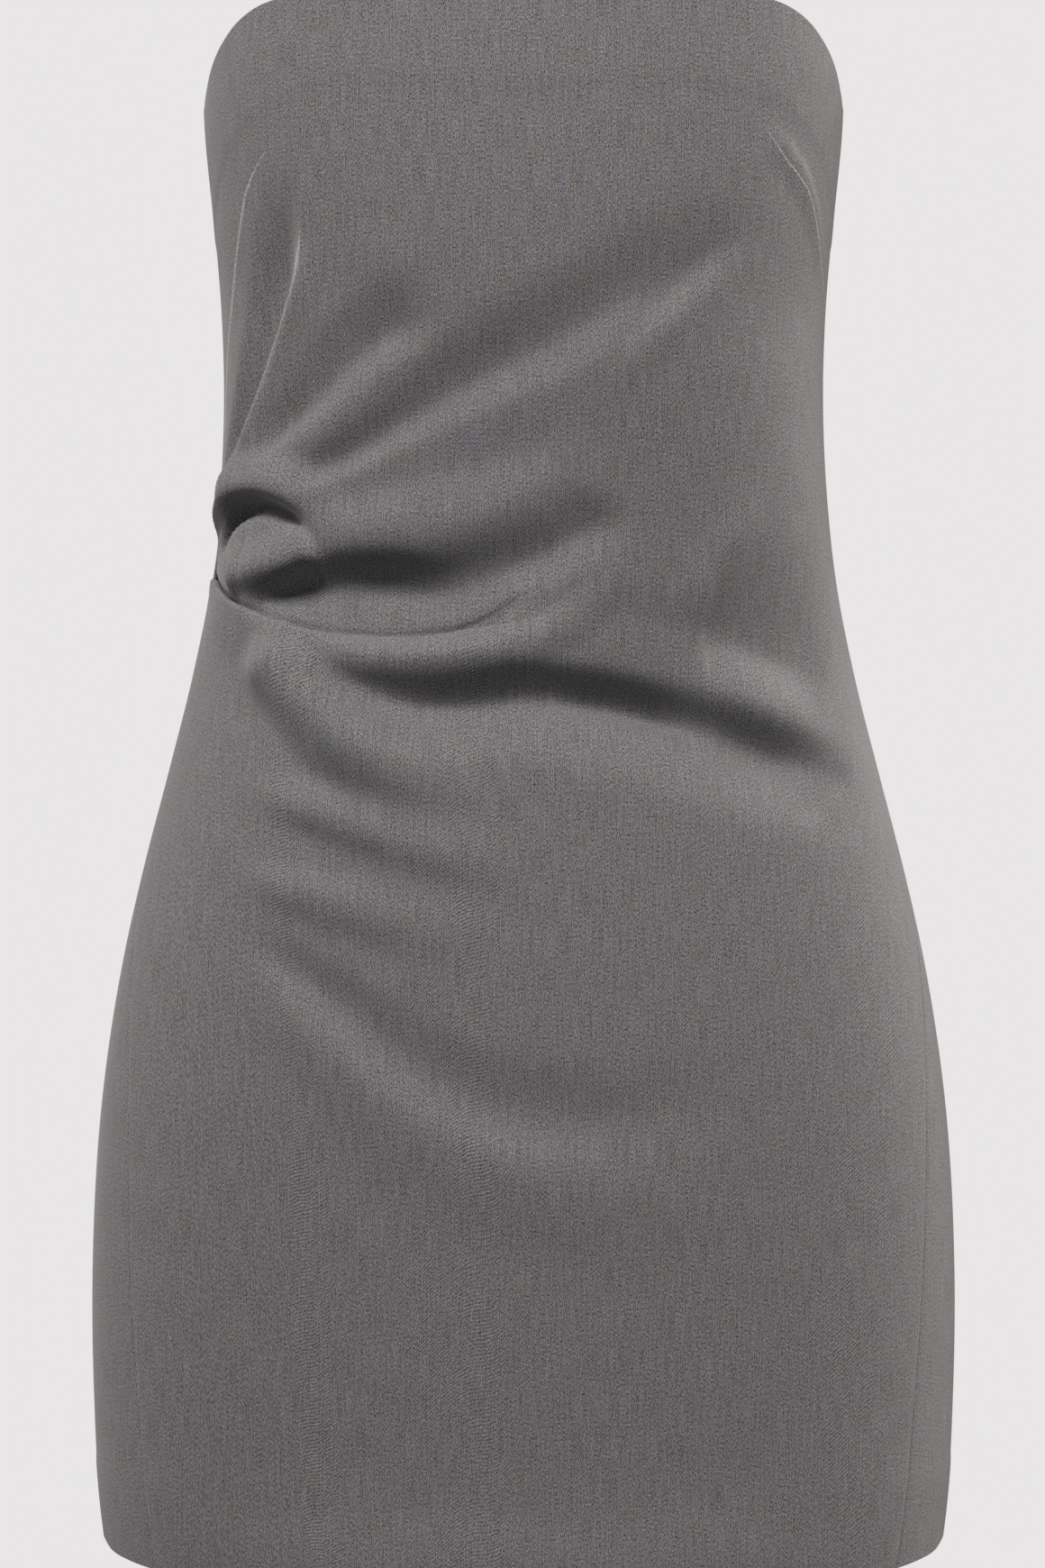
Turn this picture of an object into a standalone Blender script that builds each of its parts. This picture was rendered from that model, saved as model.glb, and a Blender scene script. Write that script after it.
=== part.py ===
"""Strapless mini dress in grey suiting, in the form it has when worn, with nobody in it.

Blender 4.5, metres, +Z up. The front faces -Y and the wearer's right side is at -X.
The origin is on the body's axis, level with the chest band that holds the dress up.
Every table is in millimetres.
"""

import math

import bmesh
import bpy
import numpy as np
from mathutils import Matrix, Vector

MM = 0.001

# The cloth: a suiting shell, and the gap that stands for a sewn seam
WALL = 1.2
SEAM_GAP = 0.3

# The worn form, outside of the cloth, by height above the chest band
FORM_COLUMNS = ("height", "half_width", "front", "back", "front_square", "back_square")
FORM = (
    (70, 137.0, 86, 83, 2.35, 2.3),
    (0, 141.3, 99, 86, 2.40, 2.3),
    (-50, 137.0, 103, 86, 2.40, 2.3),
    (-90, 133.8, 103, 84, 2.35, 2.3),
    (-130, 132.6, 99.5, 80, 2.30, 2.3),
    (-170, 134.2, 96, 80, 2.30, 2.3),
    (-210, 138.6, 95, 85, 2.30, 2.3),
    (-250, 146.6, 97, 94, 2.30, 2.3),
    (-290, 156.6, 100.5, 104, 2.35, 2.3),
    (-330, 167.0, 104, 114, 2.40, 2.3),
    (-370, 176.2, 108, 121, 2.40, 2.35),
    (-430, 185.8, 112, 124, 2.40, 2.4),
    (-510, 191.0, 115, 120, 2.40, 2.4),
    (-570, 190.2, 115, 115, 2.40, 2.4),
    (-650, 186.5, 113, 110, 2.40, 2.4),
)

# The front's edges and folds are laid out as they are seen from this far in front, at this height
VIEW_DISTANCE = 2600
VIEW_HEIGHT = -298

# Upper and lower edge of the front, as seen: out from the middle, and height
NECKLINE = (
    (0, 57), (60, 56.2), (95, 53.6), (111, 50), (119.6, 46), (124.8, 42), (128.6, 38),
    (131.4, 34), (135.8, 26), (138.6, 18), (140.4, 9), (141.1, 4.5), (141.3, 2),
)
HEM = (
    (0, -664), (80, -661.5), (130, -655), (150, -650.8), (165, -646), (176, -642),
    (182.6, -638.4), (185.6, -634),
)
# The back's edges: share of the way from the middle to the side, and height
BACK_NECKLINE = ((0, -12), (0.5, -11), (0.8, -6.5), (0.93, -1.5), (1, 2))
BACK_HEM = ((0, -641), (0.6, -639.5), (0.85, -637), (1, -634))
HEM_LEVEL = -640

# How far each side seam is set forward of the side, by height
SIDE_SEAM_COLUMNS = ("height", "right", "left")
SIDE_SEAM = (
    (70, 0, 0),
    (-230, 0, 0),
    (-300, 8, 5),
    (-340, 22, 16),
    (-370, 36, 28),
    (-430, 56, 48),
    (-520, 68, 63),
    (-650, 76, 73),
)

# The deep tuck that runs in from the wearer's right side seam: its folded edge, as seen, with the
# depth of cloth hidden behind the edge and how much of the tuck is there, 1 or less where it runs out
TUCK_COLUMNS = ("x", "z", "depth", "presence")
TUCK = (
    (-138, -208, 12, 1),
    (-124, -221, 13, 1),
    (-112, -226, 13, 1),
    (-90, -232, 12, 1),
    (-70, -234, 10, 1),
    (-48, -234, 8, 1),
    (-30, -231.5, 5, 1),
    (-12, -226.5, 3, 0.55),
    (0, -222, 2, 0.3),
    (14, -218, 2, 0),
    (46, -214, 2, 0),
    (92, -214, 2, 0),
    (140, -214, 2, 0),
)
LAYER_STEP = 1.6  # from one layer of the tuck to the next
EDGE_REACH = 6  # how far above and below the edge the tuck's own rows reach
OPEN_REACH = 13  # the same where the tuck has run out

# Folds of the front, each a crest or, with a height under 0, a valley. They are drawn from the
# wearer's right to the left, as seen: the width on each side is measured along the cloth.
FOLD_COLUMNS = ("name", "height", "above", "below", "pinch", "fade_in", "fade_out", "points")
FOLDS = (
    ("dart_hollow", -4.6, 20, 7, 0.7, 0.2, 0.45,
     ((-133, -172), (-130, -160), (-122, -136), (-115, -112), (-109, -90), (-105, -70),
      (-103, -44), (-105, -26))),
    ("dart_left", 1.5, 6, 14, 1, 0.3, 0.5,
     ((104, 0), (112, -9), (122, -22), (128.5, -38), (131.5, -54), (134, -84))),
    ("pleat_top", 3.4, 7, 13, 1, 0.12, 0.3,
     ((-133, -172), (-124, -145), (-116, -116), (-107, -93), (-101, -74), (-98, -50))),
    ("hollow_beside_pleat", -4.6, 25, 15, 0.45, 0.25, 0.28,
     ((-119, -153), (-105, -138), (-88, -120), (-70, -104), (-50, -93), (-32, -89))),
    ("drag_line", -5.0, 32, 19, 0.4, 0.12, 0.32,
     ((-108, -164), (-92, -159), (-74, -150), (-52, -137), (-25, -121), (2, -107), (30, -92),
      (54, -78), (74, -65), (94, -51), (110, -39))),
    ("pleat_arch", 7.0, 18, 7, 1, 0.15, 0.3,
     ((-135, -182), (-130, -168), (-120, -163), (-110, -164), (-99, -170), (-90, -180),
      (-85, -192))),
    ("pleat_slot", -5.0, 6, 7, 1, 0.15, 0.35,
     ((-134, -192), (-130, -181), (-121, -176), (-111, -176), (-102, -181), (-95, -189),
      (-90, -197))),
    ("pleat_pillow", 3.6, 12, 12, 1, 0.2, 0.3,
     ((-134, -200), (-122, -193), (-108, -190), (-94, -193))),
    ("pleat_roll", 6.4, 30, 14, 0.6, 0.25, 0.45,
     ((-110, -196), (-88, -192), (-60, -189), (-24, -186), (6, -176), (34, -166), (52, -160))),
    ("pleat_hollow", -7.0, 20, 12, 0.6, 0.14, 0.4,
     ((-124, -218.5), (-112, -215), (-88, -210.5), (-62, -209), (-42, -212), (-22, -214))),
    ("pleat_tongue", -5.0, 30, 12, 0.7, 0.4, 0.2,
     ((-88, -211), (-62, -211), (-38, -213), (-12, -205), (18, -191), (36, -179.5), (44, -168))),
    ("tuck_crest", 3.4, 10, 9, 1, 0.2, 0.35,
     ((-118, -233), (-96, -239), (-60, -241), (-30, -240), (0, -235), (22, -224), (38, -208),
      (46, -192), (46, -176))),
    ("hip_roll", 3.6, 26, 14, 0.8, 0.62, 0.25,
     ((-80, -240), (-40, -240), (0, -240), (34, -244), (64, -250), (86, -256), (107, -264),
      (126, -271), (142, -279))),
    ("hip_hollow", -5.6, 14, 36, 0.7, 0.25, 0.25,
     ((-96, -252), (-70, -258), (-44, -262), (-20, -262), (2, -259), (34, -262), (64, -269),
      (90, -277), (115, -285), (136, -291), (152, -297))),
    ("hip_slope", -5.0, 56, 16, 0.8, 0.5, 0.2,
     ((-6, -262), (16, -260), (40, -261), (62, -263), (84, -264))),
    ("hip_corner", 3.0, 14, 11, 1, 0.2, 0.45,
     ((78, -240), (78, -230), (82, -214), (90, -196), (99, -178), (107, -160))),
    ("skirt_drape_1", 7.0, 20, 19, 0.8, 0.2, 0.4,
     ((-119, -240), (-111, -249), (-98, -263), (-82, -279), (-64, -294), (-42, -305), (-14, -311))),
    ("skirt_drape_2", 2.8, 18, 15, 0.7, 0.3, 0.6,
     ((-126, -298), (-104, -306), (-76, -314), (-44, -319), (4, -322), (60, -322))),
    ("skirt_drape_3", 2.4, 14, 16, 0.7, 0.3, 0.55,
     ((-132, -336), (-106, -346), (-76, -356), (-44, -366), (-4, -376))),
    ("skirt_hollow_4", -3.3, 28, 19, 0.45, 0.2, 0.45,
     ((-130, -358), (-114, -371), (-92, -389), (-66, -410), (-38, -430), (0, -444), (40, -448),
      (80, -443), (118, -430))),
    ("skirt_drape_4", 2.2, 18, 36, 0.45, 0.2, 0.5,
     ((-130, -371), (-112, -391), (-90, -415), (-62, -440), (-34, -460), (0, -474), (40, -480),
      (84, -474), (120, -460))),
)
# Soft folds of the back, as seen from behind the same way, with x measured towards the wearer's left
BACK_FOLDS = (
    ("back_drag_1", 2.0, 16, 12, 1, 0.3, 0.4, ((-128, -196), (-100, -190), (-70, -178), (-44, -160))),
    ("back_drag_2", 2.4, 18, 14, 1, 0.3, 0.4, ((-134, -222), (-104, -226), (-70, -220), (-36, -206))),
    ("back_drag_3", 1.8, 16, 13, 1, 0.4, 0.3, ((40, -190), (72, -204), (104, -212), (132, -216))),
    ("back_drape_1", 1.6, 24, 20, 1, 0.4, 0.4, ((-120, -300), (-84, -322), (-50, -336), (-20, -340))),
    ("back_drape_2", 1.6, 26, 20, 1, 0.4, 0.4, ((24, -352), (60, -346), (100, -326), (140, -300))),
)
SEAM_HOLD = 14  # hollows die away over this much cloth, where a seam holds them
CREST_HOLD = 62  # the same for crests
CURVE_POINTS = 48

# Rows and columns of each cloth panel
FRONT_COLUMNS = 44
FRONT_COLUMN_SKEW = 0.30  # more columns at the wearer's right, where the folds are
ROWS_ABOVE_TUCK = 17
ROWS_BELOW_TUCK = 20
BACK_COLUMNS = 12
BACK_ROWS = 36

# The concealed zip in the middle of the back
ZIP_LENGTH = 300
ZIP_TAPE_WIDTH = 24
ZIP_TAPE_THICKNESS = 1.0
ZIP_TOP = -14
ZIP_TAPE_ROWS = 20
SLIDER_HEIGHT = -24
SLIDER_SIZE = (4.6, 1.6, 9.0)
SLIDER_EDGE = 0.5
PIVOT_STANDOFF = 0.9  # pivot of the pull tab, out from the slider's face
BAIL_RADIUS = 1.75
BAIL_WIRE = 0.45
PULL_LENGTH = 24
PULL_THICKNESS = 0.9
PULL_EYE_WIDTH = 2.0
PULL_EYE_REACH = 2.7
PULL_HEAD_WIDTH = 4.4
PULL_TAIL_WIDTH = 5.6

CLOTH_COLOUR = (0.150, 0.145, 0.145, 1)
TAPE_COLOUR = (0.110, 0.107, 0.107, 1)
METAL_COLOUR = (0.170, 0.165, 0.165, 1)


def column(rows, columns, name):
    """One named column of a table, as numbers."""
    return np.array([row[columns.index(name)] for row in rows], float)


def ease(share):
    """A smooth step from 0 to 1."""
    t = np.clip(share, 0.0, 1.0)
    return t * t * (3 - 2 * t)


def smooth_through(x, known_x, known_y):
    """A smooth curve through the known points, read at x."""
    known_x, known_y = np.asarray(known_x, float), np.asarray(known_y, float)
    if known_x[0] > known_x[-1]:
        known_x, known_y = known_x[::-1], known_y[::-1]
    x = np.clip(x, known_x[0], known_x[-1])
    slope = np.gradient(known_y, known_x)
    i = np.clip(np.searchsorted(known_x, x) - 1, 0, len(known_x) - 2)
    width = known_x[i + 1] - known_x[i]
    t = (x - known_x[i]) / width
    rise, late = ease(t), t * t * (t - 1)
    return (
        known_y[i] * (1 - rise)
        + known_y[i + 1] * rise
        + width * (slope[i] * t * (1 - t) ** 2 + slope[i + 1] * late)
    )


def form(name, height):
    """One measure of the worn form at each height."""
    return smooth_through(
        height, column(FORM, FORM_COLUMNS, "height"), column(FORM, FORM_COLUMNS, name)
    )


def quarter(angle, height, face):
    """Points of the outline, by the angle from the middle of the front or back round to the side."""
    width, depth = form("half_width", height), form(face, height)
    square = form(face + "_square", height)
    reach = (
        (np.sin(angle) / width) ** square + (np.abs(np.cos(angle)) / depth) ** square
    ) ** (-1 / square)
    return reach * np.sin(angle), reach * np.cos(angle)


class Face:
    """The front or the back of the form, read by the share of the way round to the side."""

    ANGLES = np.linspace(0, math.pi / 2, 121)
    HEIGHTS = np.arange(-700, 101, 10.0)

    def __init__(self, name, side):
        self.name, self.side = name, side
        rows = []
        for height in self.HEIGHTS:
            x, y = quarter(self.ANGLES, np.full(self.ANGLES.shape, height), name)
            steps = np.hypot(np.diff(x), np.diff(y))
            rows.append(np.concatenate([[0], np.cumsum(steps)]))
        lengths = np.array(rows)
        self.round = lengths[:, -1]
        self.shares = np.linspace(0, 1, 61)
        self.angle_of = np.array(
            [np.interp(self.shares, row / row[-1], self.ANGLES) for row in lengths]
        )

    def girth(self, height):
        """Length of cloth from the middle round to the side."""
        return np.interp(height, self.HEIGHTS, self.round)

    def point(self, share, height):
        """Points on the outside, for shares from -1 at the wearer's right to 1 at the left."""
        share, height = np.broadcast_arrays(
            np.asarray(share, float), np.asarray(height, float)
        )
        row = (np.clip(height, self.HEIGHTS[0], self.HEIGHTS[-1] - 0.01) - self.HEIGHTS[0]) / 10
        col = np.clip(np.abs(share), 0, 0.99999) * 60
        i, j = row.astype(int), col.astype(int)
        down, along = row - i, col - j
        table = self.angle_of
        angle = (table[i, j] * (1 - down) + table[i + 1, j] * down) * (1 - along) + (
            table[i, j + 1] * (1 - down) + table[i + 1, j + 1] * down
        ) * along
        x, y = quarter(angle, height, self.name)
        return np.stack([np.sign(share) * x, self.side * y, height], axis=-1)

    def outward(self, share, height):
        """Unit vectors square to the cloth."""
        share = np.clip(share, -0.995, 0.995)
        across = self.point(share + 0.004, height) - self.point(share - 0.004, height)
        down = self.point(share, np.asarray(height) - 1.0) - self.point(share, np.asarray(height) + 1.0)
        normal = np.cross(across, down) * self.side
        return normal / np.linalg.norm(normal, axis=-1, keepdims=True)

    def as_seen(self, x, z):
        """The points that a viewer straight in front sees at x and z, in the plane of the axis."""
        x, z = np.asarray(x, float), np.asarray(z, float)
        y = np.zeros(x.shape)
        for _ in range(12):
            nearer = (VIEW_DISTANCE - y) / VIEW_DISTANCE
            real_x, real_z = x * nearer, VIEW_HEIGHT + (z - VIEW_HEIGHT) * nearer
            square = form(self.name + "_square", real_z)
            out = np.clip(np.abs(real_x) / form("half_width", real_z), 0, 0.99999)
            y = form(self.name, real_z) * (1 - out**square) ** (1 / square)
        return np.stack([real_x, self.side * y, real_z], axis=-1)

    def share_of(self, points):
        """The share of the way round for points on this face."""
        height = points[..., 2]
        angle = np.arctan2(np.abs(points[..., 0]), np.abs(points[..., 1]))
        row = (np.clip(height, self.HEIGHTS[0], self.HEIGHTS[-1] - 0.01) - self.HEIGHTS[0]) / 10
        i = row.astype(int)
        found = [
            np.interp(a, self.angle_of[k] * (1 - f) + self.angle_of[k + 1] * f, self.shares)
            for a, k, f in zip(angle.ravel(), i.ravel(), (row - i).ravel())
        ]
        return np.sign(points[..., 0]) * np.array(found).reshape(angle.shape)


FRONT = Face("front", -1)
BACK = Face("back", 1)


def edge_height(arc, level, front_rows, back_rows):
    """Height of the neckline or hem, near the given level, by the arc from the front's middle."""
    arc = np.abs(arc)
    seen = FRONT.as_seen(*np.array(front_rows, float).T)
    front_arc, back_arc = FRONT.girth(level), BACK.girth(level)
    front = smooth_through(arc / front_arc, np.abs(FRONT.share_of(seen)), seen[:, 2])
    back = smooth_through(1 - (arc - front_arc) / back_arc, *np.array(back_rows, float).T)
    return np.where(arc > front_arc, back, front)


def top_height(arc):
    """Height of the neckline all round."""
    return edge_height(arc, 0.0, NECKLINE, BACK_NECKLINE)


def hem_height(arc):
    """Height of the hem all round."""
    return edge_height(arc, HEM_LEVEL, HEM, BACK_HEM)


def resample(points, count):
    """Evenly spaced points on a smooth curve through the given ones."""
    points = np.asarray(points, float)
    along = np.concatenate([[0], np.cumsum(np.linalg.norm(np.diff(points, axis=0), axis=1))])
    fine = np.linspace(0, along[-1], 8 * count)
    curve = np.stack([smooth_through(fine, along, points[:, k]) for k in range(3)], axis=1)
    length = np.concatenate([[0], np.cumsum(np.linalg.norm(np.diff(curve, axis=0), axis=1))])
    even = np.linspace(0, length[-1], count)
    return np.stack([np.interp(even, length, curve[:, k]) for k in range(3)], axis=1)


def fold_height(face, folds, points):
    """How far the folds lift each point of the plain form."""
    flat = points.reshape(-1, 3)
    lift = np.zeros(len(flat))
    for row in folds:
        fold = dict(zip(FOLD_COLUMNS, row))
        seen = np.array(fold["points"], float)
        curve = resample(face.as_seen(seen[:, 0], seen[:, 1]), CURVE_POINTS)
        tangent = np.gradient(curve, axis=0)
        spacing = np.linalg.norm(tangent, axis=1, keepdims=True)
        tangent /= spacing
        up_side = np.cross(face.outward(face.share_of(curve), curve[:, 2]), tangent) * -face.side
        near = np.linalg.norm(flat[:, None] - curve[None], axis=2).argmin(axis=1)
        off = flat - curve[near]
        half = spacing[near, 0] / 2
        slide = np.clip((off * tangent[near]).sum(axis=1), -half, half)
        off -= slide[:, None] * tangent[near]
        along = (near + slide / (2 * half)) / (CURVE_POINTS - 1)
        width = np.where((off * up_side[near]).sum(axis=1) > 0, fold["above"], fold["below"])
        width = width * (fold["pinch"] + (1 - fold["pinch"]) * ease(along / 0.6))
        away = np.clip(np.linalg.norm(off, axis=1) / width, 0, 1)
        fade = ease(along / fold["fade_in"]) * ease((1 - along) / fold["fade_out"])
        lift += fold["height"] * fade * (1 - away**2) ** 2
    return lift.reshape(points.shape[:-1])


def held_folds(lift, from_seam):
    """Folds as a seam holds them: they die away towards it, crests sooner than hollows."""
    crest = np.maximum(lift, 0) * ease(from_seam / CREST_HOLD)
    return crest + np.minimum(lift, 0) * ease(from_seam / SEAM_HOLD)


def seam_share(side, height):
    """Share of the way round from the front's middle to the side at which a side seam lies."""
    known_heights = column(SIDE_SEAM, SIDE_SEAM_COLUMNS, "height")
    forward = smooth_through(height, known_heights, column(SIDE_SEAM, SIDE_SEAM_COLUMNS, side))
    return 1 - forward / FRONT.girth(height)


def round_form(arc, height):
    """Centre points and normals of the plain cloth, by the arc from the front's middle, left positive.

    An arc longer than the way to the side goes on round the back."""
    side_arc = FRONT.girth(height)
    past = np.abs(arc) > side_arc
    front_share = np.clip(arc / side_arc, -1, 1)
    back_share = np.sign(arc) * (1 - (np.abs(arc) - side_arc) / BACK.girth(height))
    points = np.where(
        past[..., None], BACK.point(back_share, height), FRONT.point(front_share, height)
    )
    normal = np.where(
        past[..., None], BACK.outward(back_share, height), FRONT.outward(front_share, height)
    )
    return points - normal * WALL / 2, normal


def grid_panel(name, points, material):
    """A sheet of cloth through rows and columns of centre points, given its thickness by Solidify."""
    rows, columns = points.shape[:2]
    mesh = bpy.data.meshes.new(name)
    bm = bmesh.new()
    bmesh.ops.create_grid(bm, x_segments=columns - 1, y_segments=rows - 1, size=1)
    bm.verts.ensure_lookup_table()
    places = points.reshape(-1, 3) * MM
    for vert, place in zip(bm.verts, places):
        vert.co = place
    bm.to_mesh(mesh)
    bm.free()
    panel = bpy.data.objects.new(name, mesh)
    DRESS.objects.link(panel)
    thick = panel.modifiers.new("cloth thickness", "SOLIDIFY")
    thick.thickness = WALL * MM
    thick.offset = 0
    mesh.materials.append(material)
    mesh.shade_smooth()
    return panel


def tuck_rows():
    """The tuck's section, from the bodice's cloth to the skirt's: the share of the hidden depth, the
    way down from the edge and the way out from the form's plain cloth."""
    bend = LAYER_STEP / 2
    rows = [(0, -EDGE_REACH, -LAYER_STEP * 0.8), (0, -1.5, -LAYER_STEP), (0.5, 0, -LAYER_STEP)]
    for turn in (-90, -30, 30, 90):
        angle = math.radians(turn)
        rows.append((1, bend * math.cos(angle), -bend + bend * math.sin(angle)))
    rows.append((0.5, 0, 0))
    for turn in (-90, -30, 30, 90):
        angle = math.radians(turn)
        rows.append((0, -bend * math.cos(angle), bend + bend * math.sin(angle)))
    rows += [(0, 2.0, LAYER_STEP), (0, EDGE_REACH, LAYER_STEP * 0.8)]
    return np.array(rows)


def front_points():
    """Centre points of the front's cloth, row by row from the neckline to the hem."""
    even = np.linspace(-1, 1, FRONT_COLUMNS)
    place = even + FRONT_COLUMN_SKEW * (even**2 - 1)
    seen = np.array([row[:2] for row in TUCK], float)
    on_form = FRONT.as_seen(seen[:, 0], seen[:, 1])
    shares = FRONT.share_of(on_form)
    edge = smooth_through(place, shares, on_form[:, 2])
    depth = np.interp(place, shares, column(TUCK, TUCK_COLUMNS, "depth"))
    presence = ease(np.interp(place, shares, column(TUCK, TUCK_COLUMNS, "presence")))
    section = tuck_rows()
    open_down = np.linspace(-OPEN_REACH, OPEN_REACH, len(section))[:, None]
    folded_down = section[:, :1] * depth + section[:, 1:2]
    down = open_down * (1 - presence) + folded_down * presence
    folded = ease(presence / 0.5)
    out = section[:, 2:3] * folded

    hem_seam = np.where(place < 0, seam_share("right", HEM_LEVEL), seam_share("left", HEM_LEVEL))
    top = top_height(place * FRONT.girth(0))
    hem = hem_height(place * hem_seam * FRONT.girth(HEM_LEVEL))
    start, end = edge - down[0], edge - down[-1]
    above = np.linspace(0, 1, ROWS_ABOVE_TUCK + 1)[:-1, None] ** 0.85
    below = np.linspace(0, 1, ROWS_BELOW_TUCK + 1)[1:, None] ** 1.35
    height = np.concatenate(
        [top + (start - top) * above, edge - down, end + (hem - end) * below]
    )
    near_above = np.exp(-(((height[:ROWS_ABOVE_TUCK] - start) / 14) ** 2))
    near_below = np.exp(-(((height[-ROWS_BELOW_TUCK:] - end) / 12) ** 2))
    lift = np.concatenate([out[0] * near_above, out, out[-1] * near_below])
    sinks = LAYER_STEP * folded * np.concatenate([near_above, np.ones(down.shape), near_below])

    side = np.where(place < 0, seam_share("right", height), seam_share("left", height))
    girth = FRONT.girth(height)
    arc = place * (side * girth - SEAM_GAP / 2)
    plain, normal = round_form(arc, height)
    from_seam = side * girth - np.abs(arc)
    lift = lift - sinks * (1 - ease(from_seam / CREST_HOLD))
    lift = lift + held_folds(fold_height(FRONT, FOLDS, plain), from_seam)
    return plain + normal * lift[..., None]


def back_points(side):
    """Centre points of half the back, from the middle seam (first column) to the side seam."""
    across = np.linspace(0, 1, BACK_COLUMNS)
    down = np.linspace(0, 1, BACK_ROWS)[:, None]
    side_name = "left" if side > 0 else "right"
    hem_middle = FRONT.girth(HEM_LEVEL) + BACK.girth(HEM_LEVEL)
    hem_seam = seam_share(side_name, HEM_LEVEL) * FRONT.girth(HEM_LEVEL)
    top = top_height(FRONT.girth(0) + BACK.girth(0) * (1 - across))
    hem = hem_height(hem_middle + (hem_seam - hem_middle) * across)
    height = top + (hem - top) * down
    girth, front_girth = BACK.girth(height), FRONT.girth(height)
    seam = seam_share(side_name, height) * front_girth
    first = front_girth + girth - SEAM_GAP / 2
    last = seam + SEAM_GAP / 2
    arc = side * (first + (last - first) * across)
    plain, normal = round_form(arc, height)
    held = ease((np.abs(arc) - seam) / SEAM_HOLD) * ease((front_girth + girth - np.abs(arc)) / SEAM_HOLD)
    lift = held * fold_height(BACK, BACK_FOLDS, plain)
    return plain + normal * lift[..., None]


def plain_material(name, colour, roughness):
    """A plain finish for the part's own look."""
    material = bpy.data.materials.new(name)
    material.use_nodes = True
    shader = material.node_tree.nodes["Principled BSDF"]
    shader.inputs["Base Color"].default_value = colour
    shader.inputs["Roughness"].default_value = roughness
    return material


def add_zip_tape(material):
    """The zip's two tapes, closed on each other, behind the back's middle seam."""
    height = np.linspace(ZIP_TOP, ZIP_TOP - ZIP_LENGTH, ZIP_TAPE_ROWS)[:, None]
    across = np.array([-0.5, 0, 0.5]) * ZIP_TAPE_WIDTH
    share = across / BACK.girth(height)
    inwards = WALL + SEAM_GAP + ZIP_TAPE_THICKNESS / 2
    plain = BACK.point(share, height) - BACK.outward(share, height) * inwards
    tape = grid_panel("zip_tape", plain, material)
    tape.modifiers["cloth thickness"].thickness = ZIP_TAPE_THICKNESS * MM
    return tape


def mesh_object(name, source):
    """A mesh object in the place of a curve or a modified object, which it replaces."""
    graph = bpy.context.evaluated_depsgraph_get()
    mesh = bpy.data.meshes.new_from_object(source.evaluated_get(graph))
    bm = bmesh.new()
    bm.from_mesh(mesh)
    bmesh.ops.remove_doubles(bm, verts=bm.verts, dist=0.00001)
    bmesh.ops.recalc_face_normals(bm, faces=bm.faces)
    bm.to_mesh(mesh)
    bm.free()
    made = bpy.data.objects.new(name, mesh)
    made.matrix_world = source.matrix_world
    bpy.data.objects.remove(source)
    return made


def slider_face():
    """A point on the back's outside where the slider sits."""
    return Vector(BACK.point(0.0, float(SLIDER_HEIGHT))) * MM


def add_slider(material):
    """The zip's slider: a small block on the seam with a wire bail that holds the pull tab."""
    width, thickness, length = (size * MM for size in SLIDER_SIZE)
    centre = slider_face() + Vector((0, SEAM_GAP * MM + thickness / 2, 0))
    bm = bmesh.new()
    bmesh.ops.create_cube(bm, size=1)
    bmesh.ops.scale(bm, vec=(width, thickness, length), verts=bm.verts)
    bmesh.ops.bevel(
        bm, geom=bm.edges[:], offset=SLIDER_EDGE * MM, segments=2, affect="EDGES", profile=0.5
    )
    mesh = bpy.data.meshes.new("zip_slider")
    bm.to_mesh(mesh)
    bm.free()
    slider = bpy.data.objects.new("zip_slider", mesh)
    slider.location = centre
    DRESS.objects.link(slider)

    wire = bpy.data.curves.new("bail", "CURVE")
    wire.dimensions = "3D"
    wire.bevel_depth = BAIL_WIRE * MM
    wire.bevel_resolution = 1
    wire.use_fill_caps = True
    spline = wire.splines.new("POLY")
    pivot = PIVOT_STANDOFF * MM + thickness / 2
    radius = BAIL_RADIUS * MM
    turns = [math.radians(a) for a in range(0, 181, 20)]
    path = [(pivot + radius * math.sin(a), radius * math.cos(a)) for a in turns]
    path = [(0, radius), *path, (0, -radius)]
    spline.points.add(len(path) - 1)
    for point, (out, up) in zip(spline.points, path):
        point.co = (0, out, up, 1)
    curve = bpy.data.objects.new("bail", wire)
    curve.location = centre
    DRESS.objects.link(curve)
    bpy.context.view_layer.update()
    bail = mesh_object("bail_joined", curve)
    CUTTERS.objects.link(bail)
    bail.hide_render = True
    bail.display_type = "WIRE"
    join = slider.modifiers.new("bail", "BOOLEAN")
    join.operation = "UNION"
    join.object = bail
    mesh.materials.append(material)
    return slider


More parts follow.
